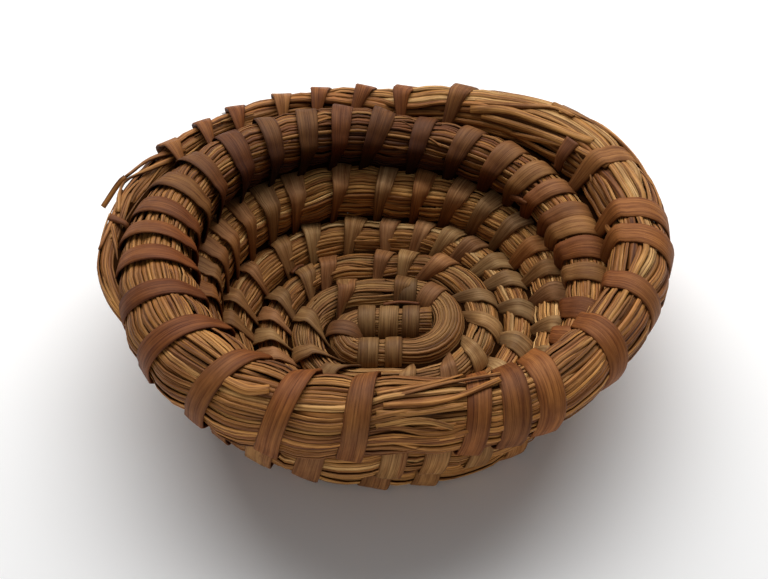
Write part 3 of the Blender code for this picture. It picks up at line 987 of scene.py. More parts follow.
# Half a straw's breadth as a share of its width, so that neighbours overlap, how deep an end lies, and how
# far a straw sways out and in and round the bundle
STALK_FULLER = 0.60
SUNK = 1.3
SWAY_DEPTH = 0.12
SWAY_ANGLE = 0.07
# Height under which no straw goes, a little below the bundle's foot
STRAW_FOOT = FOOT * 0.8


class Stalk:
    """One straw of the bundle, followed along the coil."""

    def __init__(self, width, run, life):
        self.width = width
        self.start = run
        self.life = life
        self.ending = None
        self.rows = []

    def share(self, run):
        """How far the straw has come up among its neighbours."""
        grown = share_of(run - self.start, GROWING)
        left = 1.0 if self.ending is None else share_of(self.ending - run, GROWING)
        share = min(grown, left)
        return share * share * (3 - 2 * share)


def straw_width(turn, scale):
    """Usual width of the straws at a turn."""
    return between(STALK_WIDTH_BY_TURN, turn) * scale


def grown_stalks(scale):
    """All straws of the bundle's outer layer, each with its angle and depth at every step."""
    dice = random.Random(5)
    active, done = [], []
    phase = 0.0
    for k in range(int(COIL.length / STALK_STEP) + 1):
        run = min(k * STALK_STEP, COIL.length)
        width = straw_width(COIL.row(COIL.turns, run), scale)
        around = 2 * math.pi * (COIL.row(COIL.radii, run) - width * GIRTH_DEPTH)
        for stalk in active:
            if stalk.ending is None and run > stalk.start + stalk.life:
                stalk.ending = run + GROWING
        held = sum(stalk.width for stalk in active if stalk.ending is None)
        while held > around * CROWDED and len(active) > LEAST_STRAWS:
            oldest = max((s for s in active if s.ending is None), key=lambda s: run - s.start)
            oldest.ending = run + GROWING
            held -= oldest.width
        while held < around * FILLED:
            spread, life = dice.uniform(*STRAW_SPREAD), dice.uniform(*STRAW_LIFE)
            fresh = Stalk(width * spread, run if k else -1.0, life)
            if k == 0:
                # The first straws start a metre before the coil, so they are full grown where it begins
                fresh.life = 1.0 + dice.uniform(0.05, 0.3)
            active.insert(dice.randrange(len(active) + 1), fresh)
            held += fresh.width
        weights = [stalk.width * stalk.share(run) for stalk in active]
        total = sum(weights) or 1.0
        phase += TWIST
        place = 0.0
        for stalk, weight in zip(active, weights):
            angle = phase + 2 * math.pi * (place + weight / 2) / total
            place += weight
            stalk.rows.append((run, angle, stalk.share(run)))
        for stalk in [s for s in active if s.ending is not None and run >= s.ending]:
            active.remove(stalk)
            done.append(stalk)
    return done + active


def stalk_rings(stalk, dice):
    """Rings of a stalk's tube, crowned outwards and a little flattened."""
    lift = dice.uniform(*STALK_LIFT) * stalk.width
    waves = []
    for _ in range(WAVE_COUNT):
        waves.append((dice.uniform(*WAVE_LENGTH), dice.uniform(0, 6.3), dice.uniform(0.2, 1.0)))
    flat = dice.uniform(*STALK_FLAT)
    sides = ring_angles(STALK_SIDES, math.pi / 2)
    wide = np.cos(sides) * stalk.width * STALK_FULLER
    high = np.sin(sides) * stalk.width * flat * STALK_FULLER
    rings = []
    for run, angle, share in stalk.rows:
        reach = full(run, angle)
        sway = sum(math.sin(run / length * WAVE_TURN + start) * size for length, start, size in waves)
        sunk = (1 - share) * stalk.width * SUNK
        depth = reach - stalk.width * flat / 2 + lift - sunk
        depth += sway * stalk.width * SWAY_DEPTH
        turned = angle + sway * SWAY_ANGLE * stalk.width / reach
        middle, across, spoke = COIL.spoke(run, turned, depth)
        rings.append(middle + across * wide[:, None] + spoke * high[:, None])
    return above_table(rings, STRAW_FOOT)


# Pieces of the straw, with the first and last turn of each
STRAW_PARTS = (
    ("straw_floor", 0.0, 3.2),
    ("straw_low_wall", 3.2, 4.6),
    ("straw_high_wall", 4.6, 5.6),
    ("straw_rim", 5.6, 9.0),
)


def part_at(parts, turn):
    """Number of the piece that a turn belongs to."""
    return next(k for k, part in enumerate(parts) if turn < part[2])


def tube_rings(first, last, step, corners, placed):
    """Round rings along the coil. placed gives each one's middle and radius."""
    sides = ring_angles(corners)
    rings = []
    for run in np.arange(first, last, step):
        _, out, up = COIL.section(run)
        middle, radius = placed(run)
        round_it = np.cos(sides)[:, None] * out[None, :] + np.sin(sides)[:, None] * up[None, :]
        rings.append(middle[None, :] + round_it * radius)
    return above_table(rings, FOOT)


# The core's rings, its share of the bundle's radius, how far under the straws it stays, and its least radius
CORE_STEP = 0.003
CORE_SIDES = 14
CORE_SHARE = 0.96
CORE_UNDER = 0.8
LEAST_CORE = 0.0006
# Straw pressed in between two rounds: first turn, length left free at the tail, rings, place and radius
SEAM_TURN = 1.22
SEAM_END = 0.01
SEAM_STEP = 0.004
SEAM_SIDES = 6
SEAM_OUT = 0.0008
SEAM_RADIUS = 0.0025


def core_piece(straw, material):
    """The straw inside the bundle, and what is pressed in between two rounds, both coloured dark as painted
    shade.
    """
    scale = straw.scale()

    def inside(run):
        width = straw_width(COIL.row(COIL.turns, run), scale)
        return COIL.row(COIL.centres, run), max(full(run) * CORE_SHARE - width * CORE_UNDER, LEAST_CORE)

    def pressed(run):
        angle = COIL.row(COIL.inward, run)
        return COIL.point(run, angle, COIL.row(COIL.radii, run) + SEAM_OUT), SEAM_RADIUS

    core = Surface("straw_core")
    core.add(tube_rings(0, COIL.length, CORE_STEP, CORE_SIDES, inside), tuple(straw.core), 0.5)
    seam = tube_rings(COIL.run_of(SEAM_TURN), COIL.length - SEAM_END, SEAM_STEP, SEAM_SIDES, pressed)
    core.add(seam, tuple(straw.seam), 0.3)
    return core.made(material)


def straw_pieces(straw, material):
    """The pieces of the bundle's outer straws, and of those that are loose on it or frayed."""
    dice = random.Random(23)
    surfaces = [Surface(name) for name, _, _ in STRAW_PARTS]
    dyes, dull = straw.dyes(), tuple(straw.dull)
    for stalk in grown_stalks(straw.scale()):
        if len(stalk.rows) < LEAST_RINGS:
            continue
        rings = stalk_rings(stalk, dice)
        middle = COIL.row(COIL.turns, stalk.rows[len(stalk.rows) // 2][0])
        colour = np.array(aged(drawn_dye(dice, dyes, 0.14), dull, middle, dice))
        # Painted light and shade at each ring of the straw
        painted_shading = [painted_light_and_shade(COIL.row(COIL.turns, row[0]), ring[0]) for row, ring in zip(stalk.rows, rings)]
        surface = surfaces[part_at(STRAW_PARTS, middle)]
        surface.add(rings, colour * np.array(painted_shading), dice.random(), STALK_SHADES)
    for low, high, width, flat, marks in LOOSE_STRAWS:
        width *= straw.scale()
        colour = drawn_dye(dice, dyes[:3], 0.12)
        rings = loose_straw(low, high, width, flat, marks, dice)
        surfaces[-1].add(rings, colour, dice.random(), STALK_SHADES)
        if marks[-1][:2] == HANGING_STRAW[0]:
            surfaces[-1].add(hanging_straw(rings[-1].mean(0), width), colour, dice.random(), STALK_SHADES)
    for _ in range(straw.frayed):
        rings, turn = frayed_straw(dice)
        # Painted light and shade where the frayed straw starts, with a random tone
        level = painted_light_and_shade(turn, rings[0][0]) * dice.uniform(0.8, 1.1)
        colour = np.array(drawn_dye(dice, dyes, 0.14)) * level
        surfaces[part_at(STRAW_PARTS, turn)].add(rings, colour, dice.random())
    return [surface.made(material) for surface in surfaces]


# Places across a splint's width, the one past which its edge is thin, and how thin it is there
SPLINT_ACROSS = (-1.0, -0.9, -0.45, 0.0, 0.45, 0.9, 1.0)
EDGE_FROM = 0.95
EDGE_SHARE = 0.35
# Height under which no splint goes
TABLE_GAP = 0.00002


def smoothed(points, count):
    """Points spread evenly along a smooth curve through the given ones."""
    points = [np.asarray(p, float) for p in points]
    points = [points[0] * 2 - points[1], *points, points[-1] * 2 - points[-2]]
    fine = []
    for a, b, c, d in zip(points, points[1:], points[2:], points[3:]):
        for t in np.arange(8) / 8:
            level = 2 * b
            slope = (c - a) * t
            bend = (2 * a - 5 * b + 4 * c - d) * t * t
            twist = (3 * b - a - 3 * c + d) * t**3
            fine.append(0.5 * (level + slope + bend + twist))
    fine.append(points[-2])
    fine = np.array(fine)
    runs = np.concatenate([[0], np.cumsum(np.linalg.norm(np.diff(fine[:, :3], axis=0), axis=1))])
    even = np.linspace(0, runs[-1], count)
    return np.stack([np.interp(even, runs, fine[:, k]) for k in range(fine.shape[1])], 1)


def ribbon_rings(path, widths, wide, rolls, crown, lay, thick):
    """Rings of a flat splint along a path. wide is the bundle's direction there, lay the outward one."""
    along = np.gradient(path, axis=0)
    along /= np.linalg.norm(along, axis=1, keepdims=True)
    side = wide - along * (wide * along).sum(1)[:, None]
    side /= np.linalg.norm(side, axis=1, keepdims=True)
    normal = np.cross(along, side)
    flip = np.sign((normal * lay).sum(1))
    flip[flip == 0] = 1
    normal *= flip[:, None]
    rings = []
    for k in range(len(path)):
        turn = rolls[k]
        edge = side[k] * math.cos(turn) + normal[k] * math.sin(turn)
        face = normal[k] * math.cos(turn) - side[k] * math.sin(turn)
        half = widths[k] / 2
        top, under = [], []
        for share in SPLINT_ACROSS:
            rise = crown * (1 - share * share)
            deep = thick * (1.0 if abs(share) < EDGE_FROM else EDGE_SHARE)
            base = path[k] + edge * half * share
            top.append(base + face * (rise + deep / 2))
            under.append(base + face * (rise - deep / 2))
        rings.append(top + under[::-1])
    return above_table(rings, TABLE_GAP)


# Angle in degrees at which a splint meets the round inside, and how far it stands off before it goes in
DIP_BY_TURN = ((0.0, 15.0), (3.0, 17.0), (3.8, 26.0))
OVER_BY_TURN = ((0.0, 0.0001), (3.0, 0.0002), (3.8, 0.0008))


# Angles in degrees round the bundle at which a stitch's points lie, and the last one before it goes in
WRAP_DEGREES = range(-105, 76, 15)
LAST_DEGREES = 96
# It lifts off the bundle from one angle on, over a span of angles
LIFT_FROM = 75
LIFT_SPAN = 30
LIFT = 0.0006
# Points of both ends in the round inside: share of the dip, depth and share of the skew
ENTRY = ((0.7, 0.0035, -0.5), (1.0, 0.0004, -0.5))
RETURN = ((0.8, 0.0003, 0.62), (0.5, 0.0040, 0.72))
# Angle round the bundle at which a splint's face looks outwards at both ends
END_DEGREES = 100
# How much of its thickness a splint stands off the bundle
STAND_OFF = 0.6
# Rings of a stitch, of a band, of a loose straw, of a hanging one and of a loose end
STITCH_RINGS = 40
BAND_RINGS = 44
LOOSE_RINGS = 16
HANGING_RINGS = 8
END_RINGS = 14
# How far a splint's middle stands over its edges: at most in a stitch, in a loose end, and in a band
CROWN = 0.0003
BAND_CROWN = 0.0002


def stitch_rows(run, skew, thick):
    """Points of a stitch: out, round and in again, each with the bundle's direction and a point outwards."""
    turn = COIL.row(COIL.turns, run)
    foot = COIL.runs[COIL.feet[COIL.number(run)]]
    away = COIL.row(COIL.inward, run) + math.pi
    dip = math.radians(between(DIP_BY_TURN, turn))
    over = between(OVER_BY_TURN, turn)

    def wrap(angle, lift):
        place = run + skew * angle / TURNED
        reach = full(run) + thick * STAND_OFF + lift
        outwards = COIL.point(place, away + angle, 1.0)
        return [*COIL.point(place, away + angle, reach), *COIL.row(COIL.along, place), *outwards]

    def mouth(side, angle, depth, place):
        facing = COIL.row(COIL.bearings, place)
        reach = COIL.row(COIL.radii, place) - depth
        spot = COIL.point(place, facing + side * angle, reach)
        outwards = COIL.point(run + skew * side * 0.5, away + side * math.radians(END_DEGREES), 1.0)
        return [*spot, *COIL.row(COIL.along, place), *outwards]

    rows = [mouth(-1, dip * share, depth, foot + skew * slant) for share, depth, slant in ENTRY]
    for degrees in WRAP_DEGREES:
        rows.append(wrap(math.radians(degrees), LIFT * max(abs(degrees) - LIFT_FROM, 0) / LIFT_SPAN))
    rows.append(wrap(math.radians(LAST_DEGREES), over))
    rows += [mouth(1, dip * share, depth, foot + skew * slant) for share, depth, slant in RETURN]
    return rows


def stitch_rings(run, splints, dice):
    """Rings of the splint of one stitch, tapered, rippled and a little rolled, and the turn it lies on."""
    turn = COIL.row(COIL.turns, run)
    width = between(SPLINT_WIDTH_BY_TURN, turn) * splints.scale() * dice.uniform(0.88, 1.1)
    fine = smoothed(stitch_rows(run, SKEW * dice.uniform(0.9, 1.1), splints.thick()), STITCH_RINGS)
    path, wide = fine[:, :3], fine[:, 3:6]
    lay = fine[:, 6:9] - path
    # The first end narrows a little, the last one much more, and each is rolled on its own
    share = np.linspace(-1, 1, len(path))
    taper = 1 - 0.55 * np.clip((share - 0.15) / 0.75, 0, 1) ** 1.25
    taper *= 1 - 0.25 * np.clip((-share - 0.55) / 0.45, 0, 1)
    ripple = 1 + 0.03 * np.sin(share * dice.uniform(4, 9) + dice.uniform(0, 6))
    roll = dice.uniform(0.04, 0.22) + dice.uniform(0.1, 0.5) * np.clip((share - 0.2) / 0.6, 0, 1) ** 1.5
    roll -= dice.uniform(-0.1, 0.3) * np.clip((-share - 0.35) / 0.6, 0, 1) ** 1.5
    widths = width * taper * ripple
    lay /= np.linalg.norm(lay, axis=1, keepdims=True)
    lifted = np.abs(np.sin(roll)) * widths * 0.35 * np.clip((0.9 - np.abs(share)) / 0.3, 0, 1)
    path = path + lay * lifted[:, None]
    return ribbon_rings(path, widths, wide, roll, dice.uniform(0.0, CROWN), lay, splints.thick()), turn


def faded_by(colour, share, other):
    """Colours along a splint, mixed with another colour by a share at each ring."""
    return colour * (1 - share) + np.array([*other])[None, :] * share


def splint_colours(dye, rings, turn, splints, dice):
    """Colours along a splint: worn where hands and goods rub it, dark with painted shade where it goes under,
    and painted light and shade by place.
    """
    share = np.linspace(-1, 1, len(rings))[:, None]
    worn = dice.uniform(0.05, 0.45) * np.exp(-(((share + dice.uniform(-0.1, 0.3)) / 0.32) ** 2))
    # Painted shade towards both ends, where the splint goes under
    dark = dice.uniform(0.25, 0.6) * np.clip((np.abs(share) - 0.45) / 0.5, 0, 1)
    colour = faded_by(np.asarray(dye)[None, :], worn, splints.worn)
    colour = faded_by(colour, dark, splints.dark)
    # Painted light: lighter and greyer high in the rounds of the wall at the back
    if 3.4 < turn < 5.6:
        high = np.array([[max(level_in_round(turn, ring[0]) - 0.1, 0.0)] for ring in rings])
        back = share_of(rings[len(rings) // 2][0][1], 0.03)
        colour = faded_by(colour, dice.uniform(0.1, 0.6) * high * back, splints.painted_light_high)
    # Painted light and shade at each ring of the splint
    painted_shading = np.array([painted_light_and_shade(turn, ring[0]) for ring in rings])
    return colour * painted_shading * (1 + between(SPLINTS_LIGHTER_BY_TURN, turn)) ** WARM_SHADE


# Width of the bands round the bundle's start, how far one moves along it, and the steps round it
BAND_WIDTH = 0.0068
BAND_SKEW = 0.002
BAND_STEPS = 24


def band_rings(run, splints, dice):
    """Rings of a splint that goes once round the start of the bundle."""
    thick = splints.thick()
    width = BAND_WIDTH * splints.scale() * dice.uniform(0.9, 1.1)
    rows = []
    for k in range(BAND_STEPS + 1):
        angle = 2 * math.pi * k / BAND_STEPS - math.pi / 2
        place = run + BAND_SKEW * (k / BAND_STEPS - 0.5)
        reach = full(run) + thick * 0.5
        spot = COIL.point(place, angle, reach)
        spot[2] = max(spot[2], thick * STAND_OFF)
        rows.append([*spot, *COIL.row(COIL.along, place), *COIL.point(place, angle, 1.0)])
    fine = smoothed(rows, BAND_RINGS)
    path = fine[:, :3]
    widths = np.full(len(path), width)
    lay = fine[:, 6:9] - path
    return ribbon_rings(path, widths, fine[:, 3:6], np.zeros(len(path)), BAND_CROWN, lay, thick)


# Loose straws: turns of the coil, width, share of flatness, and marks in the picture with a lift in mm
LOOSE_STRAWS = (
    (5.55, 5.95, 0.0021, 0.40, ((378, 392, -0.3), (425, 386, 0.3), (463, 376, 0.9))),
    (5.55, 5.95, 0.0018, 0.45, ((384, 401, -0.3), (446, 386, 0.8), (501, 378, 1.5))),
    (5.55, 5.95, 0.0022, 0.45, ((384, 409, -0.3), (446, 400, 0.5), (502, 384, 1.3))),
    (5.55, 5.95, 0.0017, 0.40, ((376, 415, -0.3), (418, 410, 0.5), (462, 407, 0.6))),
    (5.55, 5.95, 0.0022, 0.35, ((374, 425, -0.3), (420, 423, 0.5), (452, 424, 0.5))),
    (5.55, 5.95, 0.0020, 0.35, ((376, 437, -0.3), (430, 437, 0.3), (470, 431, -0.2))),
    (5.5, 5.8, 0.0036, 0.30, ((222, 376, -0.3), (248, 387, 0.5), (268, 393, 0.7))),
    (5.9, 6.25, 0.0036, 0.40, ((470, 108, -0.2), (500, 112, 0.7), (527, 117, 1.2), (590, 144, 0.4))),
    (5.9, 6.25, 0.0030, 0.40, ((482, 118, -0.2), (526, 128, 0.6), (570, 147, 0.5), (606, 166, -0.2))),
    (5.9, 6.25, 0.0024, 0.50, ((474, 102, -0.3), (520, 106, 0.3), (552, 109, 0.7), (574, 117, 0.8))),
    (5.9, 6.25, 0.0032, 0.45, ((560, 112, 0.6), (600, 128, 0.7), (636, 152, 0.5), (660, 184, -0.2))),
    (5.9, 6.25, 0.0024, 0.50, ((512, 132, -0.2), (560, 142, 0.6), (600, 156, -0.1))),
    (5.9, 6.25, 0.0030, 0.45, ((552, 106, 1.0), (590, 122, 0.5), (622, 142, 0.3), (642, 162, -0.3))),
    (6.35, 6.64, 0.0022, 0.55, ((186, 149, -0.2), (152, 161, 0.8), (121, 174, 2.2))),
    (6.35, 6.64, 0.0020, 0.55, ((180, 156, -0.2), (150, 170, 0.8), (126, 186, 1.4), (117, 214, 0.4))),
    (6.4, 6.66, 0.0018, 0.50, ((121, 190, 0.4), (112, 222, 0.6), (101, 250, 0.4))),
    (6.4, 6.66, 0.0020, 0.50, ((113, 226, 0.7), (116, 258, 0.8), (124, 288, 0.2))),
)
# The one whose broken end hangs down ends at the first of these marks, and drops so far from mark to mark
HANGING_STRAW = ((121, 174), (111, 191), (103, 207))
HANGING_DROP = 0.0035
# Loose ends of splint: turns of the coil, width, and marks in the picture with a lift in mm
LOOSE_SPLINTS = (
    (5.9, 6.25, 0.0062, ((572, 143, 1.2), (565, 155, 2.0), (560, 167, 1.2))),
    (0.1, 0.45, 0.0040, ((382, 303, 0.6), (400, 295, 1.4), (418, 302, 0.8))),
    (1.8, 3.2, 0.0038, ((284, 266, 1.0), (294, 264, 1.6), (305, 268, 1.0))),
    (4.0, 5.5, 0.0030, ((512, 195, 0.6), (520, 198, 1.0), (529, 203, 1.4))),
    (6.35, 6.66, 0.0030, ((111, 219, 1.4), (122, 227, 2.2), (132, 239, 1.2))),
)


# Lines round each section on which a spot is looked for, and pixels that are added for a hidden one
SPOT_LINES = 36
HIDDEN = 1e6


def spots(marks, low, high):
    """Points over the near side of a round at marks in the picture, and the outward lines there."""
    rows = np.nonzero((COIL.turns >= low) & (COIL.turns <= high))[0]
    angles = np.linspace(0, 2 * math.pi, SPOT_LINES, endpoint=False)
    lines = (
        COIL.out[rows][:, None, :] * np.cos(angles)[None, :, None]
        + COIL.up[rows][:, None, :] * np.sin(angles)[None, :, None]
    )
    faces = COIL.centres[rows][:, None, :] + lines * (COIL.radii[rows])[:, None, None]
    shown = ((VIEW.place - faces) * lines).sum(-1) > 0
    seen = VIEW.seen(faces)
    points, lays = [], []
    for across, down, lift in marks:
        gaps = np.linalg.norm(seen - np.array([across, down]), axis=-1) + np.where(shown, 0, HIDDEN)
        row, side = np.unravel_index(int(np.argmin(gaps)), gaps.shape)
        points.append(faces[row, side] + lines[row, side] * lift / 1000)
        lays.append(lines[row, side])
    return np.array(points), np.array(lays)


def loose_straw(low, high, width, flat, marks, dice):
    """Rings of a flattened straw that lies loose over a round."""
    points, lays = spots(marks, low, high)
    fine = smoothed(np.concatenate([points, lays], 1), LOOSE_RINGS)
    path, lay = fine[:, :3], fine[:, 3:]
    side, lay = frames(path, lay)
    sides = ring_angles(STALK_SIDES, math.pi / 2)
    sizes = width / 2 * (1 + 0.08 * np.sin(np.linspace(0, dice.uniform(3, 9), len(path))))
    return (
        path[:, None, :]
        + side[:, None, :] * (sizes[:, None] * np.cos(sides)[None, :])[:, :, None]
        + lay[:, None, :] * (sizes[:, None] * flat * np.sin(sides)[None, :])[:, :, None]
    )


def frames(path, lay):
    """Lines across a path and outwards from it."""
    along = np.gradient(path, axis=0)
    along /= np.linalg.norm(along, axis=1, keepdims=True)
    side = np.cross(along, lay)
    side /= np.linalg.norm(side, axis=1, keepdims=True)
    return side, np.cross(side, along)


# Frayed straws: first turn, length left free at the tail, ranges of length and width, drift and rings
FRAYED_TURN = 0.3
FRAYED_STOP = 0.03
FRAYED_LENGTH = (0.008, 0.022)
FRAYED_WIDTH = (0.0004, 0.0010)
FRAYED_DRIFT = 0.45
FRAYED_RINGS = 8
FRAYED_SIDES = 4


def frayed_straw(dice):
    """Rings of a short broken straw whose ends have come up from the bundle, and the turn it starts on."""
    run = dice.uniform(COIL.run_of(FRAYED_TURN), COIL.length - FRAYED_STOP)
    span = dice.uniform(*FRAYED_LENGTH)
    angle = dice.uniform(-math.pi, math.pi)
    drift = dice.uniform(-FRAYED_DRIFT, FRAYED_DRIFT)
    width = dice.uniform(*FRAYED_WIDTH)
    lifts = (dice.uniform(-0.0003, 0.0005), dice.uniform(-0.0005, 0.0), dice.uniform(-0.0003, 0.0004))
    rings = []
    sides = ring_angles(FRAYED_SIDES, math.pi / 2)
    for share in np.linspace(0, 1, FRAYED_RINGS):
        place = run + span * share
        turned = angle + drift * share
        lift = lifts[0] * (1 - share) ** 2 + lifts[1] * 2 * share * (1 - share) + lifts[2] * share**2
        middle, across, spoke = COIL.spoke(place, turned, full(place, turned) + lift)
        ring = middle + across * np.cos(sides)[:, None] * width / 2
        ring = ring + spoke * np.sin(sides)[:, None] * width / 4
        rings.append(ring)
    return above_table(rings, STRAW_FOOT), COIL.row(COIL.turns, run)


def hanging_straw(start, width):
    """Rings of a broken straw that hangs down from the end of another."""
    count = len(HANGING_STRAW)
    places = [VIEW.at_height(mark, start[2] - HANGING_DROP * k) for k, mark in enumerate(HANGING_STRAW)]
    places = [np.asarray(start) * (1 - k / (count - 1)) + places[k] * k / (count - 1) for k in range(count)]
    path = smoothed(places, HANGING_RINGS)
    along = path[-1] - path[0]
    side = np.cross(along, VIEW.back)
    side /= np.linalg.norm(side)
    lay = np.cross(side, along / np.linalg.norm(along))
    sides = ring_angles(STALK_SIDES, math.pi / 2)
    ring = side[None, :] * np.cos(sides)[:, None] * width / 2
    ring = ring + lay[None, :] * np.sin(sides)[:, None] * width / 4
    return path[:, None, :] + ring[None, :, :]


def loose_splint(low, high, width, marks, thick):
    """Rings of a broken end of splint."""
    points, lays = spots(marks, low, high)
    fine = smoothed(np.concatenate([points, lays], 1), END_RINGS)
    path = fine[:, :3]
    wide = np.cross(np.gradient(path, axis=0), fine[:, 3:])
    widths = width * np.linspace(1.0, 0.55, len(path))
    return ribbon_rings(path, widths, wide, np.zeros(len(path)), CROWN, fine[:, 3:], thick)


# Pieces of the splints, with the first and last turn of each
SPLINT_PARTS = (
    ("splints_floor", 0.0, 3.3),
    ("splints_wall", 3.3, 5.6),
    ("splints_rim", 5.6, 9.0),
)


# From where the wall's splints are darker, to where some are as grey as the floor's, and how many of them
HIGH_WALL_TURN = 4.7
GREYER_TURN = 4.3
GREYER_SHARE = 0.35
# From how far forward they are all grey, and how much lighter
FRONT_FROM = -0.05
FRONT_LIGHT = 1.15


def stitch_dye(splints, turn, rings, dice):
    """A colour for the splint of a stitch, by where it lies."""
    which = part_at(SPLINT_PARTS, turn)
    part = ("floor", "wall" if turn < HIGH_WALL_TURN else "high_wall", "rim")[which]
    if which == 1 and turn < GREYER_TURN and dice.random() < GREYER_SHARE:
        part = "floor"
    dye = drawn_dye(dice, splints.dyes(part), 0.16)
    if which == 1 and rings[0][0][1] < FRONT_FROM:
        dye = np.array(drawn_dye(dice, splints.dyes("floor"), 0.16)) * FRONT_LIGHT
    return dye


def splint_pieces(splints, material):
    """The pieces of the start's bands, of all stitches and of the loose ends."""
    dice = random.Random(31)
    surfaces = [Surface(name) for name, _, _ in SPLINT_PARTS]
    for run in BAND_RUNS:
        dye = np.array(drawn_dye(dice, splints.dyes("floor"), 0.16)) * dice.uniform(0.75, 0.95)
        surfaces[0].add(band_rings(run, splints, dice), dye, dice.random(), SPLINT_SHADES)
    for run in STITCH_RUNS:
        rings, turn = stitch_rings(run, splints, dice)
        dye = stitch_dye(splints, turn, rings, dice)
        colours = splint_colours(dye, rings, turn, splints, dice)
        surfaces[part_at(SPLINT_PARTS, turn)].add(rings, colours, dice.random(), SPLINT_SHADES)
    for low, high, width, marks in LOOSE_SPLINTS:
        rings = loose_splint(low, high, width * splints.scale(), marks, splints.thick())
        surfaces[part_at(SPLINT_PARTS, low)].add(rings, tuple(splints.loose), dice.random())
    return [surface.made(material) for surface in surfaces]


class BASKET_OT_straw(bpy.types.Operator):
    """Lays every straw of the bundle along the coil"""

    bl_idname = "basket.straw"
    bl_label = "Lay the straw"

    def execute(self, context):
        straw = context.scene.basket_straw
        nodes = ["straw_coil"]
        pieces = straw_pieces(straw, straw_finish("dry straw", straw))
        pieces.append(core_piece(straw, hollow_finish("shaded straw", straw)))
        for made in pieces:
            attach(made, BODY)
            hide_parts(*nodes)
        return {"FINISHED"}


class BASKET_OT_splints(bpy.types.Operator):
    """Sews the rounds together with splints"""

    bl_idname = "basket.splints"
    bl_label = "Sew the splints"

    def execute(self, context):
        splints = context.scene.basket_splints
        nodes = [name for name in NODES if name != "straw_coil"]
        for made in splint_pieces(splints, splint_finish("split wood", splints)):
            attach(made, BODY)
            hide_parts(*nodes)
        return {"FINISHED"}


def area_lamp(name, place, target, size, power, colour):
    """A soft lamp that points at a target."""
    data = bpy.data.lights.new(name, "AREA")
    data.shape = "RECTANGLE"
    data.size, data.size_y = size
    data.energy = power
    data.color = colour
    lamp = bpy.data.objects.new(name, data)
    lamp.location = place
    lamp.rotation_euler = (Vector(target) - Vector(place)).to_track_quat("-Z", "Y").to_euler()
    bpy.context.scene.collection.objects.link(lamp)


# Lamps, by place, target, size and colour: a window behind, and the light that comes back low from the front
LAMPS = (
    ("back_window", (0.0, 0.6, 0.78), (0, 0, 0), (1.55, 0.8), (1, 0.99, 0.98)),
    ("front_bounce", (-0.15, -0.95, 0.08), (0, 0, 0.03), (0.6, 0.1), (1, 0.98, 0.96)),
)


# Half the table's width, the places along y between which its colour goes from the painted shade in front to
# the far colour, and the reach of the white glow
TABLE_REACH = 4.0
TABLE_NEAR = -0.20
TABLE_FAR = 0.01
GLOW_FROM = 0.16
GLOW_TO = 0.6


def table_top(stage):
    """The table under the basket, a little darker in front as painted shade, which shows as plain white far
    from it.
    """
    shape = bmesh.new()
    bmesh.ops.create_grid(shape, x_segments=2, y_segments=2, size=TABLE_REACH)
    mesh = bpy.data.meshes.new("table_top")
    shape.to_mesh(mesh)
    shape.free()
    finish = Finish("pale table")
    place = finish.add("NewGeometry", out="Position")
    shade = finish.ranged(finish.add("SeparateXYZ", Vector=place, out=1), TABLE_NEAR, TABLE_FAR)
    stops = ((0.0, (*stage.near, 1)), (1.0, (*stage.far, 1)))
    away = finish.add("VectorMath", {"operation": "LENGTH"}, out=1, _0=place)
    eased = {"interpolation_type": "SMOOTHSTEP"}
    glow = finish.add("MapRange", eased, Value=away, _1=GLOW_FROM, _2=GLOW_TO, _3=0.0, _4=1.0)
    glow = glow * finish.add("LightPath", out="Is Camera Ray")
    finish.feed(
        Base_Color=finish.add("ValToRGB", {"stops": stops}, Fac=shade),
        Roughness=0.7,
        Specular_IOR_Level=0.2,
        Emission_Color=finish.add("CombineColor", Red=glow, Green=glow, Blue=glow),
        Emission_Strength=1.0,
    )
    mesh.materials.append(finish.material)
    floor = bpy.data.objects.new("table_top", mesh)
    bpy.context.scene.collection.objects.link(floor)
    return floor


def soft_room(strength):
    """Even light from all round, and plain white where the camera sees past the table."""
    white = (1, 1, 1, 1)
    world = bpy.data.worlds.new("soft room")
    world.use_nodes = True
    room = Nodes(world.node_tree)
    even = room.tree.nodes["Background"]
    even.inputs["Color"].default_value = white
    even.inputs["Strength"].default_value = strength
    seen = room.add("LightPath", out="Is Camera Ray")
    both = room.add("MixShader", _0=seen, _1=Wire(even.outputs[0]), _2=room.add("Background", Color=white))
    plug(room.tree.nodes["World Output"].inputs["Surface"], both)
    return world


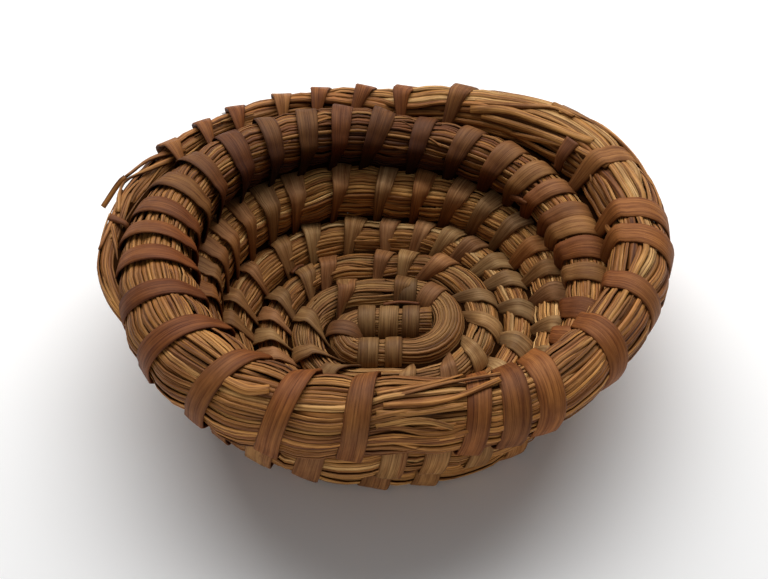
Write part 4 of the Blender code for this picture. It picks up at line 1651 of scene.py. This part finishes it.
def camera():
    """The camera, in the place from which the view is worked out."""
    data = bpy.data.cameras.new("camera")
    data.sensor_width = SENSOR
    data.lens = VIEW.lens
    made = bpy.data.objects.new("camera", data)
    made.location = VIEW.place
    made.rotation_euler = Vector(-VIEW.back).to_track_quat("-Z", "Y").to_euler()
    bpy.context.scene.collection.objects.link(made)
    return made


class BASKET_OT_stage(bpy.types.Operator):
    """Sets the floor, the lamps and the camera"""

    bl_idname = "basket.stage"
    bl_label = "Set the stage"

    def execute(self, context):
        scene = context.scene
        stage = scene.basket_stage
        table_top(stage)
        scene.world = soft_room(stage.room)
        for name, place, target, size, colour in LAMPS:
            area_lamp(name, place, target, size, getattr(stage, name), colour)
        scene.camera = camera()
        scene.view_settings.view_transform = "Standard"
        return {"FINISHED"}


class BASKET_PT_panel(bpy.types.Panel):
    """Lists the sizes, the colours and the steps of the basket"""

    bl_idname = "BASKET_PT_panel"
    bl_label = "Coiled basket"
    bl_space_type = "VIEW_3D"
    bl_region_type = "UI"
    bl_category = "Basket"

    def draw(self, context):
        """Shows a box of properties for each group, and a button for each step."""
        for name, group in GROUPS.items():
            box = self.layout.box()
            box.label(text=group.__doc__)
            for field in group.__annotations__:
                box.prop(getattr(context.scene, name), field)
        for step in STEPS:
            self.layout.operator(step.bl_idname)


GROUPS = {"basket_straw": BasketStraw, "basket_splints": BasketSplints, "basket_stage": BasketStage}
STEPS = (BASKET_OT_straw, BASKET_OT_splints, BASKET_OT_stage)
CLASSES = (*GROUPS.values(), *STEPS, BASKET_PT_panel)


def register():
    """Registers the groups, the operators and the panel, and gives each scene the groups."""
    for made in CLASSES:
        bpy.utils.register_class(made)
    for name, group in GROUPS.items():
        setattr(bpy.types.Scene, name, bpy.props.PointerProperty(type=group))


def unregister():
    """Takes away what register has added."""
    for name in GROUPS:
        delattr(bpy.types.Scene, name)
    for made in reversed(CLASSES):
        bpy.utils.unregister_class(made)


def main():
    """Makes the basket and its stage."""
    register()
    bpy.ops.basket.straw()
    bpy.ops.basket.splints()
    bpy.ops.basket.stage()


if __name__ == "__main__":
    main()
